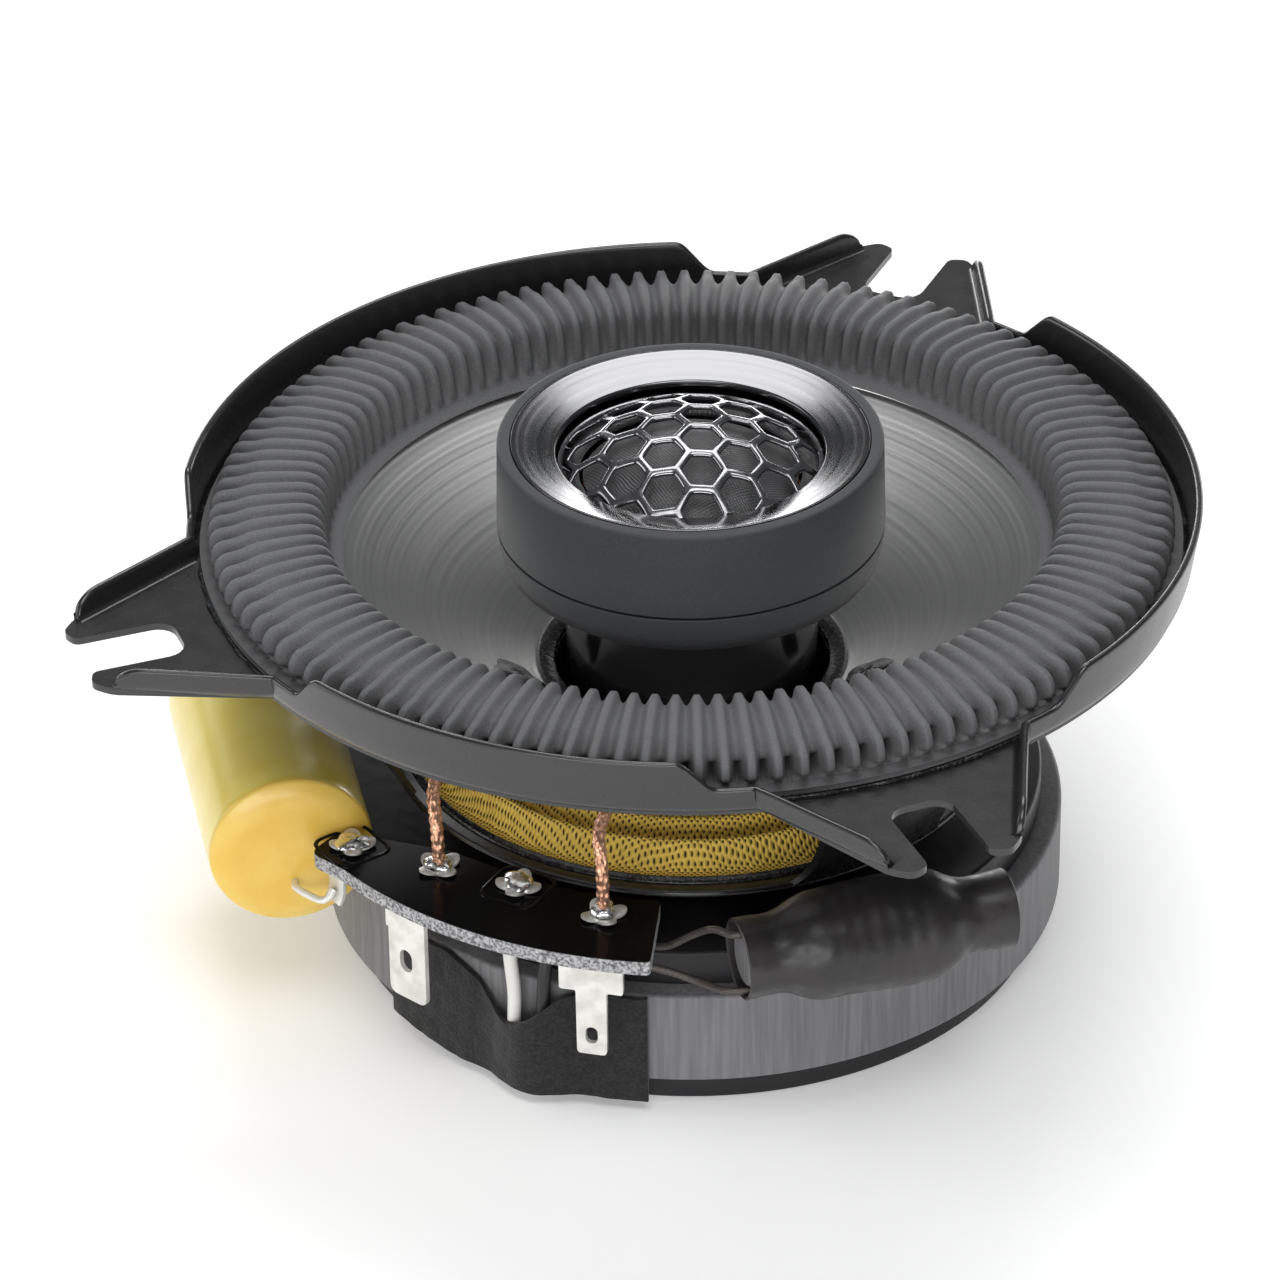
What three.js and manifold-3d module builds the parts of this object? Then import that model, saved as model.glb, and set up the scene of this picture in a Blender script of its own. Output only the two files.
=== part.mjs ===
// A small coaxial car speaker: a woofer with a pressed steel basket and a ferrite motor, a tweeter pod
// on a post that stands on the pole, and a terminal board that carries the crossover parts.
// Millimetres, +Z is the direction that the sound leaves. The origin is the centre of the rear face.
import * as THREE from "three";
import { mergeVertices } from "three/addons/utils/BufferGeometryUtils.js";
import Module from "manifold-3d";

const wasm = await Module();
wasm.setup();

// ---- Driving dimensions ----
const GAP = 0.3; // clearance between two pieces that touch or are glued
const BIG_SEGMENTS = 36;
const SMALL_SEGMENTS = 20;
const TINY_SEGMENTS = 10;

// Motor
const BACK_PLATE_INSET = 2; // how far the back plate stands back from the magnet's edge
const BACK_PLATE_H = 3.3;
const MAGNET_R = 35.5;
const MAGNET_HOLE_CLEARANCE = 2.8; // winding to magnet
const MAGNET_H = 8.9;
const TOP_PLATE_INSET = 2;
const TOP_PLATE_H = 3.6;
const VENT_R = 2.5;
const COIL_R = 13; // inside radius of the voice coil's former
const POLE_CLEARANCE = 0.6; // pole to former
const FORMER_WALL = 0.3;
const WINDING_WALL = 0.6;
const WINDING_H = 8;
const COIL_CLEARANCE = 0.5; // winding to top plate
const LABEL_INSET = 3.5; // back plate's edge to the label's
const LABEL_H = 0.3;
const WIRE_CHANNEL_W = 4.4;
const WIRE_CHANNEL_DEPTH = 2.1;

// Basket
const SHEET = 0.7; // thickness of the pressed steel
const FLANGE_R = 47.05;
const BASKET_H = 24.4; // from the basket's base to its flange
const RIM_H = 5.4; // from the flange to the top of the rim wall
const WALL_FLARE = 0.9; // how much farther out the wall stands at its top
const LIP_H = 2.3; // from the flange to the top of an ear's lip
const LANDING_R = 28.7; // the step that the spider is glued to
const LANDING_H = 3.65; // from the basket's base to the landing
const FLANGE_W = 8.05; // how far the flange reaches in from the rim
const LEG_HALF_ANGLE = 14;
const LEG_ANGLES = [32, 148, 212, 328];
const EAR_ANGLES = [90, 223.7, 316.3];
const EAR_FOOT_INSET = 1.05; // how far inside the rim an ear starts
const EAR_LENGTH = 14;
const EAR_TIP_LENGTH = 1.6; // the prong's bare tip beyond the lip
const EAR_BASE_HALF_W = 12.8;
const EAR_TIP_HALF_W = 6.4;
const SLOT_HALF_W = 3;
const SLOT_INSET = 4.2; // from an ear's foot to the inner end of its slot
const EAR_TO_RAMP = 8.8; // degrees from an ear's foot to where the wall is back at its full height
const WALL_RAMP = 3.4;

// Moving parts of the woofer
const SURROUND_INSET = 0.85; // rim to the surround's edge
const SURROUND_T = 0.7;
const SURROUND_FLANGE_W = 1;
const ROLL_WALL = 0.6;
const ROLL_H = 4.8; // from the basket's flange to the top of the roll
const ROLL_W = 11.2; // across the roll, from its outer to its inner base
const SHOULDER_INSET = 2.7; // roll's outer base to its shoulder
const SHOULDER_DROP = 0.7;
const CROWN_INSET = 6.2; // roll's outer base to its flat crown
const CROWN_END_INSET = 1.4; // roll's inner base to its flat crown
const LAP_RISE = 1.2; // how far over the cone's edge the roll meets its inner flange
const LAP_W = 0.85; // how far the inner flange reaches over the cone
const NECK_LIFT = 7.05; // from the landing to the cone's neck
const CONE_EDGE_DROP = 1.2; // from the basket's flange to the cone's edge
const CONE_T = 0.4;
const SPIDER_INSET = 1.1; // landing's edge to the spider's
const SPIDER_T = 0.4;
const SPIDER_WAVES = 3;
const SPIDER_WAVE_H = 0.9;

// Tweeter
const POST_CLEARANCE = 1; // post to the inside of the former
const POD_DROP = 3; // from the basket's flange down to the pod's floor
const POD_BASE_H = 4.8;
const POD_H = 13.5;
const POD_R = 18.3;
const POD_WALL = 2.2;
const RIM_W = 1.4; // width of the pod's rim round the bezel
const BEZEL_W = 4.3;
const BEZEL_DROP = 1.15; // how far the bezel slopes down to its hole
const GRILLE_CLEARANCE = 0.4;
const GRILLE_DROP = 1.35; // from the bezel's hole down to the grille's flange
const GRILLE_H = 4.4;
const GRILLE_T = 0.5;
const GRILLE_SEGMENTS = 18;
const HEX_PITCH = 4.06;
const HEX_BAR = 0.65;
const HEX_TURN = 23.4;
const HEX_OFFSET = [1.03, 1.46]; // the honeycomb isn't centred in the grille
const DOME_INSET = 2.2; // grille's edge to the dome's
const DOME_RISE = 3;

// Terminal board and what is on it
const BOARD_LIFT = 0.45; // from the landing to the board's top
const BOARD_T = 1.5;
const BOARD_INNER_R = 31.6;
const BOARD_OUTER_R = 41.4;
const BOARD_END = 287.8;
const TAB_T = 0.5;
const BARREL_R = 1.1;
const PETAL_R = 1.9;
// Each terminal: radius and angle of its barrel
const TERMINALS = {
  solder_tag: { r: 38.7, angle: 238.2 },
  positive_tab: { r: 35, angle: 251 },
  spare_rivet: { r: 33.3, angle: 264.3 },
  negative_tab: { r: 34.9, angle: 279.6 },
};
const WIDE_TAB_W = 4.8;
const NARROW_TAB_W = 2.8;
const NARROW_SHOULDER_W = 6;
const TAB_FALL_R = 40.4; // where the two tabs turn down
const WIDE_TAB_LENGTH = 9.2;
const NARROW_TAB_LENGTH = 9.4;
const SHOULDER_LENGTH = 2.9;

// Crossover parts
const CAPACITOR_R = 7.8;
const CAPACITOR_FRONT = [-26.5, -33.3];
const CAPACITOR_BACK = [-42.6, -10.3];
const CAPACITOR_DROP = 1.8; // from the board's top to the capacitor's axis
const INDUCTOR_NEAR = [19.2, -34.2];
const INDUCTOR_FAR = [38.6, -17.1];
const INDUCTOR_DROP = 1.3;
const INDUCTOR_R = 5.2;
const INDUCTOR_END_R = 3.7;
const SLEEVE_T = 0.4;
const WIRE_R = 0.65;
const LEAD_R = 0.35;
const TINSEL_R = 0.5;
const TAPE_T = 0.6;

// ---- Places and sizes that follow from them ----
const magnetBottom = BACK_PLATE_H + GAP;
const magnetTop = magnetBottom + MAGNET_H;
const topPlateBottom = magnetTop + GAP;
const topPlateTop = topPlateBottom + TOP_PLATE_H;
const backPlateR = MAGNET_R - BACK_PLATE_INSET;
const topPlateR = MAGNET_R - TOP_PLATE_INSET;
const labelR = backPlateR - LABEL_INSET;
const poleR = COIL_R - POLE_CLEARANCE;
const formerOuterR = COIL_R + FORMER_WALL;
const windingInnerR = formerOuterR + GAP;
const windingOuterR = windingInnerR + WINDING_WALL;
const neckR = formerOuterR + GAP;
const magnetHoleR = windingOuterR + MAGNET_HOLE_CLEARANCE;
const windingMiddle = (topPlateBottom + topPlateTop) / 2;
const basketBottom = topPlateTop + GAP;
const landingTop = basketBottom + LANDING_H;
const flangeTop = basketBottom + BASKET_H;
const flangeBottom = flangeTop - SHEET;
const wallTop = flangeTop + RIM_H;
const lipTop = flangeTop + LIP_H;
const legTopR = FLANGE_R - FLANGE_W;
const earFoot = FLANGE_R - EAR_FOOT_INSET;
const earReach = earFoot + EAR_LENGTH;
const earLipReach = earReach - EAR_TIP_LENGTH;
const slotEnd = earFoot + SLOT_INSET;
const earGapHalfAngle = THREE.MathUtils.radToDeg(Math.asin(EAR_BASE_HALF_W / FLANGE_R)) - 0.3;
const rampAngle = earGapHalfAngle + EAR_TO_RAMP;
const surroundR = FLANGE_R - SURROUND_INSET;
const rollOuterR = surroundR - SURROUND_FLANGE_W;
const rollInnerR = rollOuterR - ROLL_W;
const rollTop = flangeTop + ROLL_H;
const coneEdgeR = rollInnerR - GAP - 0.1;
const coneEdgeZ = flangeTop - CONE_EDGE_DROP;
const coneNeckZ = landingTop + NECK_LIFT;
const spiderR = LANDING_R - SPIDER_INSET;
const postR = COIL_R - POST_CLEARANCE;
const podBottom = flangeTop - POD_DROP;
const podSeam = podBottom + POD_BASE_H;
const podTop = podBottom + POD_H;
const bezelR = POD_R - RIM_W;
const bezelHoleR = bezelR - BEZEL_W;
const bezelHoleZ = podTop - BEZEL_DROP;
const grilleR = bezelHoleR - GRILLE_CLEARANCE;
const grilleBase = bezelHoleZ - GRILLE_DROP;
const grilleApex = grilleBase + GRILLE_H;
const domeR = grilleR - DOME_INSET;
const boardTop = landingTop + BOARD_LIFT;
const boardBottom = boardTop - BOARD_T;
const tabTop = boardBottom - GAP;
const wideTabLow = tabTop - WIDE_TAB_LENGTH;
const narrowTabLow = tabTop - NARROW_TAB_LENGTH;
const shoulderLow = tabTop - SHOULDER_LENGTH;
const capacitorZ = boardTop - CAPACITOR_DROP;
const inductorZ = boardTop - INDUCTOR_DROP;

// ---- Materials ----
const MATERIALS = {
  black_steel: { color: 0x17181a, roughness: 0.45, metalness: 0.3 },
  ferrite: { color: 0x54565a, roughness: 0.6, metalness: 0.2 },
  rubber: { color: 0x2b2c2f, roughness: 0.75, metalness: 0 },
  cone_metal: { color: 0x8d8f91, roughness: 0.35, metalness: 0.8 },
  spider_cloth: { color: 0xb89a3a, roughness: 0.9, metalness: 0 },
  black_plastic: { color: 0x1d1e20, roughness: 0.5, metalness: 0 },
  black_chrome: { color: 0x3a3b3e, roughness: 0.15, metalness: 1 },
  grille_metal: { color: 0x5b5c60, roughness: 0.25, metalness: 1 },
  dome_cloth: { color: 0x0e0e10, roughness: 0.8, metalness: 0 },
  board_fibre: { color: 0x121214, roughness: 0.4, metalness: 0 },
  tinned_metal: { color: 0xd9d8d2, roughness: 0.4, metalness: 0.8 },
  solder: { color: 0xcfd0d2, roughness: 0.25, metalness: 1 },
  copper: { color: 0xb9704a, roughness: 0.4, metalness: 0.9 },
  capacitor_film: { color: 0xe8cf5a, roughness: 0.35, metalness: 0 },
  epoxy: { color: 0xe0b04a, roughness: 0.35, metalness: 0 },
  heat_shrink: { color: 0x1c1a1a, roughness: 0.4, metalness: 0 },
  white_insulation: { color: 0xe6e4dc, roughness: 0.5, metalness: 0 },
  black_insulation: { color: 0x151515, roughness: 0.5, metalness: 0 },
  tape_cloth: { color: 0x161616, roughness: 0.9, metalness: 0 },
  label_foil: { color: 0x9a9b9d, roughness: 0.4, metalness: 0.6 },
  bare_steel: { color: 0x77797c, roughness: 0.4, metalness: 0.9 },
};

// ---- Shape helpers ----
const radians = THREE.MathUtils.degToRad;
const polar = (r, angle) => new THREE.Vector2(r * Math.cos(radians(angle)), r * Math.sin(radians(angle)));
const at = (r, angle, z) => new THREE.Vector3(polar(r, angle).x, polar(r, angle).y, z);

function solidOf(geometry) {
  const bare = geometry.index ? geometry.toNonIndexed() : geometry.clone();
  bare.deleteAttribute("normal");
  bare.deleteAttribute("uv");
  const merged = mergeVertices(bare, 1e-4);
  return new wasm.Manifold(
    new wasm.Mesh({
      numProp: 3,
      vertProperties: new Float32Array(merged.attributes.position.array),
      triVerts: new Uint32Array(merged.index.array),
    }),
  );
}

function geometryOf(solid) {
  const { numProp, numVert, vertProperties, triVerts } = solid.getMesh();
  const positions = new Float32Array(numVert * 3);
  for (let i = 0; i < numVert; i++) positions.set(vertProperties.subarray(i * numProp, i * numProp + 3), i * 3);
  return new THREE.BufferGeometry()
    .setAttribute("position", new THREE.BufferAttribute(positions, 3))
    .setIndex(new THREE.BufferAttribute(new Uint32Array(triVerts), 1));
}

// A profile of [radius, height] points turned about the Z axis. It closes on itself, or ends on the axis.
function turned(profile, segments = BIG_SEGMENTS) {
  const area = profile.reduce((sum, [r, z], i) => {
    const [nextR, nextZ] = profile[(i + 1) % profile.length];
    return sum + r * nextZ - nextR * z;
  }, 0);
  const outward = area > 0 ? profile : [...profile].reverse();
  const onAxis = outward.filter(([r]) => r === 0).length;
  const start = onAxis ? outward.findIndex(([r], i) => r === 0 && outward[(i + 1) % outward.length][0] > 0) : 0;
  const ordered = outward.map((_, i) => outward[(start + i) % outward.length]);
  const points = ordered.map(([r, z]) => new THREE.Vector2(r, z));
  if (!onAxis) points.push(points[0].clone());
  return new THREE.LatheGeometry(points, segments).rotateX(Math.PI / 2);
}

const ring = (innerR, outerR, low, high, segments) =>
  turned([[innerR, low], [outerR, low], [outerR, high], [innerR, high]], segments);

const disc = (r, low, high, segments) => turned([[0, low], [r, low], [r, high], [0, high]], segments);

// A flat outline raised from one height to another
function raised(points, low, high) {
  const shape = new THREE.Shape(points.map((p) => new THREE.Vector2(p.x, p.y)));
  return new THREE.ExtrudeGeometry(shape, { depth: high - low, bevelEnabled: false }).translate(0, 0, low);
}

// Points along an arc of the given radius, with no step wider than stepAngle degrees
function arc(r, from, to, stepAngle = 10) {
  const steps = Math.max(1, Math.ceil(Math.abs(to - from) / stepAngle));
  return Array.from({ length: steps + 1 }, (_, i) => polar(r, from + ((to - from) * i) / steps));
}

const sector = (innerR, outerR, from, to, low, high) =>
  raised([...arc(outerR, from, to), ...arc(innerR, to, from)], low, high);

// A round wire that follows a smooth curve through points
function wire(points, r, steps, sides = 6) {
  const section = new THREE.Shape(
    Array.from({ length: sides }, (_, i) => polar(r, (360 * i) / sides)),
  );
  const path = new THREE.CatmullRomCurve3(points, false, "centripetal");
  return new THREE.ExtrudeGeometry(section, { steps, extrudePath: path, bevelEnabled: false });
}

function join(...geometries) {
  return geometryOf(geometries.map(solidOf).reduce((sum, piece) => sum.add(piece)));
}

function cut(geometry, ...tools) {
  return geometryOf(tools.map(solidOf).reduce((rest, tool) => rest.subtract(tool), solidOf(geometry)));
}

// Turns a shape that was made standing on Z so that it lies from one point to another at height z
function laidBetween(geometry, from, to, z) {
  const along = new THREE.Vector3(to[0] - from[0], to[1] - from[1], 0).normalize();
  const turn = new THREE.Quaternion().setFromUnitVectors(new THREE.Vector3(0, 0, 1), along);
  return geometry.applyQuaternion(turn).translate(from[0], from[1], z);
}

const speaker = new THREE.Group();

function add(name, geometry, material) {
  const mesh = new THREE.Mesh(geometry, new THREE.MeshStandardMaterial(MATERIALS[material]));
  mesh.name = name;
  speaker.add(mesh);
}

// ---- Motor: yoke, magnet, top plate and rear label ----
const labelRecess = disc(labelR + GAP, -1, LABEL_H + GAP);
const vent = disc(VENT_R, -1, basketBottom + 1, TINY_SEGMENTS);
const channelTop = LABEL_H + GAP + WIRE_CHANNEL_DEPTH;
const wireChannel = new THREE.BoxGeometry(WIRE_CHANNEL_W, backPlateR + 1, channelTop + 1)
  .translate(0, -(backPlateR + 1) / 2, (channelTop - 1) / 2);
const yoke = turned([
  [0, 0], [backPlateR, 0], [backPlateR, BACK_PLATE_H], [poleR, BACK_PLATE_H],
  [poleR, topPlateTop], [0, topPlateTop],
]);
add("pole_yoke", cut(yoke, labelRecess, vent, wireChannel), "black_steel");
add("rear_label", disc(labelR, 0, LABEL_H), "label_foil");
add("magnet_ring", ring(magnetHoleR, MAGNET_R, magnetBottom, magnetTop), "ferrite");
add(
  "top_plate",
  ring(windingOuterR + COIL_CLEARANCE, topPlateR, topPlateBottom, topPlateTop),
  "black_steel",
);

// ---- Basket: a turned shell with four windows, a rim wall, and three forked ears ----
const BASE_HOLE_CLEARANCE = 2.6; // winding to the hole in the basket's base
const STEP_INSET = 3.9; // landing's edge to the foot of the step up to it
const STEP_RUN = 1.2;
const baseInnerR = windingOuterR + BASE_HOLE_CLEARANCE;
const stepR = LANDING_R - STEP_INSET;
const landingRiseR = stepR + STEP_RUN;
const landingBottom = landingTop - SHEET;
const shell = turned([
  [baseInnerR, basketBottom], [stepR, basketBottom], [landingRiseR, landingBottom],
  [LANDING_R + SHEET, landingBottom], [legTopR + SHEET, flangeBottom], [FLANGE_R, flangeBottom],
  [FLANGE_R, flangeTop], [legTopR, flangeTop], [LANDING_R, landingTop],
  [landingRiseR - SHEET / 2, landingTop], [stepR - SHEET / 2, basketBottom + SHEET],
  [baseInnerR, basketBottom + SHEET],
]);
const WINDOW_LOW = landingTop + 0.25;
const WINDOW_HIGH = flangeBottom - 1.3;
const windows = LEG_ANGLES.map((angle, i) => {
  const next = i + 1 < LEG_ANGLES.length ? LEG_ANGLES[i + 1] : LEG_ANGLES[0] + 360;
  return sector(LANDING_R - 4, FLANGE_R, angle + LEG_HALF_ANGLE, next - LEG_HALF_ANGLE, WINDOW_LOW, WINDOW_HIGH);
});
const wall = turned([
  [FLANGE_R - SHEET, flangeBottom], [FLANGE_R, flangeBottom],
  [FLANGE_R + WALL_FLARE, wallTop], [FLANGE_R + WALL_FLARE - SHEET, wallTop],
]);
// The wall is lowered on both sides of each ear, with a slanting ramp, and left out where the ear is.
const wallCuts = EAR_ANGLES.flatMap((ear) => {
  const wide = rampAngle;
  const narrow = rampAngle - WALL_RAMP;
  const inner = FLANGE_R - 3 * SHEET;
  const outer = FLANGE_R + 3 * SHEET;
  const lowCut = sector(inner, outer, ear - narrow, ear + narrow, lipTop, wallTop + 1);
  const earCut = sector(inner, outer, ear - earGapHalfAngle, ear + earGapHalfAngle, flangeTop, wallTop + 1);
  const ramps = [-1, 1].map((side) => {
    const length = radians(WALL_RAMP) * FLANGE_R;
    const triangle = new THREE.Shape([
      new THREE.Vector2(-0.1, lipTop), new THREE.Vector2(0, lipTop),
      new THREE.Vector2(length, wallTop), new THREE.Vector2(length, wallTop + 1), new THREE.Vector2(-0.1, wallTop + 1),
    ]);
    const wedge = new THREE.ExtrudeGeometry(triangle, { depth: outer - inner, bevelEnabled: false });
    // the triangle's x runs round the rim away from the ear, its y is the height, and its depth is radial
    const middle = polar(1, ear + side * narrow);
    const away = new THREE.Vector3(-middle.y * side, middle.x * side, 0);
    const radial = new THREE.Vector3(middle.x, middle.y, 0);
    const depthDirection = new THREE.Vector3().crossVectors(away, new THREE.Vector3(0, 0, 1));
    const start = depthDirection.dot(radial) > 0 ? inner : outer;
    return wedge.applyMatrix4(
      new THREE.Matrix4().makeBasis(away, new THREE.Vector3(0, 0, 1), depthDirection)
        .setPosition(radial.x * start, radial.y * start, 0),
    );
  });
  return [lowCut, earCut, ...ramps];
});

const SLOT_CORNER = 2;
const PRONG_TIP_HALF_W = 4.6;
function earPlate() {
  const prong = [
    [earFoot - 2, EAR_BASE_HALF_W], [earFoot, EAR_BASE_HALF_W], [earLipReach, EAR_TIP_HALF_W],
    [earReach, PRONG_TIP_HALF_W], [earReach - 0.7, SLOT_HALF_W],
  ];
  const corner = [0, 30, 60, 90].map((angle) => [
    slotEnd + SLOT_CORNER * (1 - Math.sin(radians(angle))),
    SLOT_HALF_W - SLOT_CORNER * (1 - Math.cos(radians(angle))),
  ]);
  const half = [...prong, ...corner];
  const mirrored = half.map(([x, y]) => [x, -y]).reverse();
  return raised([...half, ...mirrored].reverse().map(([x, y]) => ({ x, y })), flangeBottom, flangeTop);
}
function earLip(side) {
  const edge = new THREE.Vector2(earLipReach - earFoot, EAR_TIP_HALF_W - EAR_BASE_HALF_W).normalize();
  const inward = new THREE.Vector2(edge.y, -edge.x).multiplyScalar(SHEET);
  const outline = [
    new THREE.Vector2(earFoot - 0.6, EAR_BASE_HALF_W), new THREE.Vector2(earLipReach, EAR_TIP_HALF_W),
    new THREE.Vector2(earLipReach + inward.x, EAR_TIP_HALF_W + inward.y),
    new THREE.Vector2(earFoot - 0.6 + inward.x, EAR_BASE_HALF_W + inward.y),
  ].map((p) => ({ x: p.x, y: p.y * side }));
  return raised(side > 0 ? outline.reverse() : outline, flangeBottom, lipTop);
}
const ears = EAR_ANGLES.flatMap((angle) =>
  [earPlate(), earLip(1), earLip(-1)].map((piece) => piece.rotateZ(radians(angle))),
);
add("basket", join(cut(shell, ...windows), cut(wall, ...wallCuts), ...ears), "black_steel");

// ---- Woofer: surround, cone, spider, voice coil and its leads ----
const surroundBottom = flangeTop + GAP;
const surroundTop = surroundBottom + SURROUND_T;
const shoulderR = rollOuterR - SHOULDER_INSET;
const crownOuterR = rollOuterR - CROWN_INSET;
const crownInnerR = rollInnerR + CROWN_END_INSET;
add(
  "surround",
  turned([
    [rollOuterR - 1.6, surroundBottom], [surroundR, surroundBottom], [surroundR, surroundTop],
    [rollOuterR, surroundTop], [shoulderR, rollTop - SHOULDER_DROP], [crownOuterR, rollTop], [crownInnerR, rollTop],
    [rollInnerR, coneEdgeZ + LAP_RISE], [coneEdgeR - LAP_W, coneEdgeZ + GAP],
    [coneEdgeR - LAP_W + 0.35, coneEdgeZ + GAP - 0.2], [rollInnerR + ROLL_WALL, coneEdgeZ + LAP_RISE],
    [crownInnerR + ROLL_WALL, rollTop - ROLL_WALL], [crownOuterR, rollTop - ROLL_WALL],
    [shoulderR - 0.4, rollTop - SHOULDER_DROP - ROLL_WALL],
  ]),
  "rubber",
);
const neckOuterR = neckR + CONE_T;
const coneMiddleR = (neckOuterR + coneEdgeR) / 2;
const coneMiddleZ = (coneNeckZ + coneEdgeZ) / 2 - 0.7; // the cone sags a little below a straight line
add(
  "cone",
  turned([
    [neckR, coneNeckZ - 1.2], [neckOuterR, coneNeckZ - 1.2], [neckOuterR, coneNeckZ - CONE_T],
    [coneMiddleR + CONE_T / 2, coneMiddleZ - CONE_T], [coneEdgeR, coneEdgeZ - CONE_T - 0.3],
    [coneEdgeR - 0.9, coneEdgeZ - 0.5], [coneMiddleR, coneMiddleZ], [neckR, coneNeckZ],
  ]),
  "cone_metal",
);
const spiderHalf = (from, to, lift) =>
  Array.from({ length: 2 * SPIDER_WAVES }, (_, i) => {
    const share = (i + 0.5) / (2 * SPIDER_WAVES);
    return [from + (to - from) * share, landingTop + 1.9 + lift + (i % 2 ? -1 : 1) * SPIDER_WAVE_H];
  });
const spiderFoot = spiderR - 1;
const spiderTopSide = spiderHalf(spiderFoot, neckR + 1.4, SPIDER_T / 2);
const spiderLowSide = spiderHalf(spiderFoot, neckR + 1.4, -SPIDER_T / 2).reverse();
const spiderBottom = landingTop + GAP;
add(
  "spider",
  turned([
    [spiderR, spiderBottom], [spiderR, spiderBottom + SPIDER_T], [spiderFoot, spiderBottom + SPIDER_T],
    ...spiderTopSide, [neckR, landingTop + 2.2], [neckR, landingTop + 1.8], ...spiderLowSide,
    [spiderFoot, spiderBottom],
  ], SMALL_SEGMENTS),
  "spider_cloth",
);
const formerBottom = windingMiddle - WINDING_H / 2 - GAP;
add("voice_coil_former", ring(COIL_R, formerOuterR, formerBottom, coneNeckZ, SMALL_SEGMENTS), "bare_steel");
add(
  "voice_coil_winding",
  ring(
    windingInnerR, windingOuterR, windingMiddle - WINDING_H / 2, windingMiddle + WINDING_H / 2, SMALL_SEGMENTS,
  ),
  "copper",
);
// A lead ends in the glue behind the cone, this far below the straight line from its neck to its edge.
const LEAD_UNDER_CONE = 1.9;
const underCone = (r, angle) =>
  at(r, angle, coneNeckZ + ((coneEdgeZ - coneNeckZ) * (r - neckR)) / (coneEdgeR - neckR) - LEAD_UNDER_CONE);
const tinselRoutes = {
  tinsel_lead_left: [
    at(35, 251, 23.6), at(34.6, 250, 26), at(33, 247, 28), at(28, 240, 28.6), underCone(19.6, 236),
  ],
  tinsel_lead_right: [
    at(34.9, 279.6, 23.6), at(34.7, 279.4, 26.5), at(33.2, 278.5, 29.2), at(28, 279, 29.8), underCone(19.8, 282),
  ],
};
for (const [name, route] of Object.entries(tinselRoutes)) {
  add(name, wire(route, TINSEL_R, 12), "copper");
}

// ---- Tweeter: post, pod, bezel, grille, and the small motor inside ----
const postTop = podBottom - GAP;
const ventUp = disc(VENT_R, topPlateTop - 1, podSeam, TINY_SEGMENTS);
add("tweeter_post", cut(disc(postR, basketBottom, postTop, SMALL_SEGMENTS), ventUp), "black_plastic");
const POD_FLOOR = 1;
const podInnerR = POD_R - POD_WALL;
add(
  "tweeter_pod_base",
  cut(
    turned([
      [0, podBottom], [POD_R - 1.9, podBottom], [POD_R - 0.6, podBottom + 0.9], [POD_R, podSeam - GAP / 2],
      [podInnerR, podSeam - GAP / 2], [podInnerR, podBottom + POD_FLOOR], [0, podBottom + POD_FLOOR],
    ]),
    ventUp,
  ),
  "black_plastic",
);
const LEDGE_DROP = 0.55;
const ledgeZ = bezelHoleZ - LEDGE_DROP;
add(
  "tweeter_pod_sleeve",
  turned([
    [podInnerR, podSeam + GAP / 2], [POD_R, podSeam + GAP / 2], [POD_R - 0.2, podTop], [bezelR, podTop],
    [bezelR, ledgeZ], [podInnerR - 0.9, ledgeZ], [podInnerR - 0.9, ledgeZ - 1], [podInnerR, ledgeZ - 1.6],
  ]),
  "black_plastic",
);
add(
  "tweeter_bezel",
  turned([
    [bezelHoleR, bezelHoleZ], [bezelHoleR, bezelHoleZ - 0.6], [bezelR - GAP - 1.7, ledgeZ + GAP],
    [bezelR - GAP, ledgeZ + GAP], [bezelR - GAP, podTop],
  ]),
  "black_chrome",
);

// A spherical cap between two radii of the same centre, ending at a base radius
function cap(baseR, baseZ, apexZ, thickness, segments, steps) {
  const rise = apexZ - baseZ;
  const sphereR = (baseR * baseR + rise * rise) / (2 * rise);
  const centre = apexZ - sphereR;
  const edge = Math.asin(baseR / sphereR);
  const curve = (r) =>
    Array.from({ length: steps + 1 }, (_, i) => {
      const angle = (edge * (steps - i)) / steps;
      return [i === steps ? 0 : r * Math.sin(angle), centre + r * Math.cos(angle)];
    });
  return turned([...curve(sphereR), ...curve(sphereR - thickness).reverse()], segments);
}
function hexagonHoles() {
  const holes = [];
  const rowStep = (HEX_PITCH * Math.sqrt(3)) / 2;
  const hexR = (HEX_PITCH - HEX_BAR) / Math.sqrt(3);
  for (let row = -3; row <= 3; row++) {
    for (let column = -3; column <= 3; column++) {
      const x = HEX_OFFSET[0] + rowStep * row;
      const y = HEX_OFFSET[1] + HEX_PITCH * (column + (row % 2 ? 0.5 : 0));
      if (Math.hypot(x, y) > grilleR - HEX_PITCH / 2) continue;
      const outline = Array.from({ length: 6 }, (_, i) => polar(hexR, 60 * i).add(new THREE.Vector2(x, y)));
      holes.push(raised(outline, grilleBase - 1, grilleApex + 1).rotateZ(radians(HEX_TURN)));
    }
  }
  return holes;
}
const grilleFlange = ring(grilleR - 0.5, bezelHoleR + 1.4, grilleBase - 0.4, grilleBase, SMALL_SEGMENTS);
add(
  "tweeter_grille",
  join(cut(cap(grilleR, grilleBase - 0.1, grilleApex, GRILLE_T, GRILLE_SEGMENTS, 2), ...hexagonHoles()), grilleFlange),
  "grille_metal",
);

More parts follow.
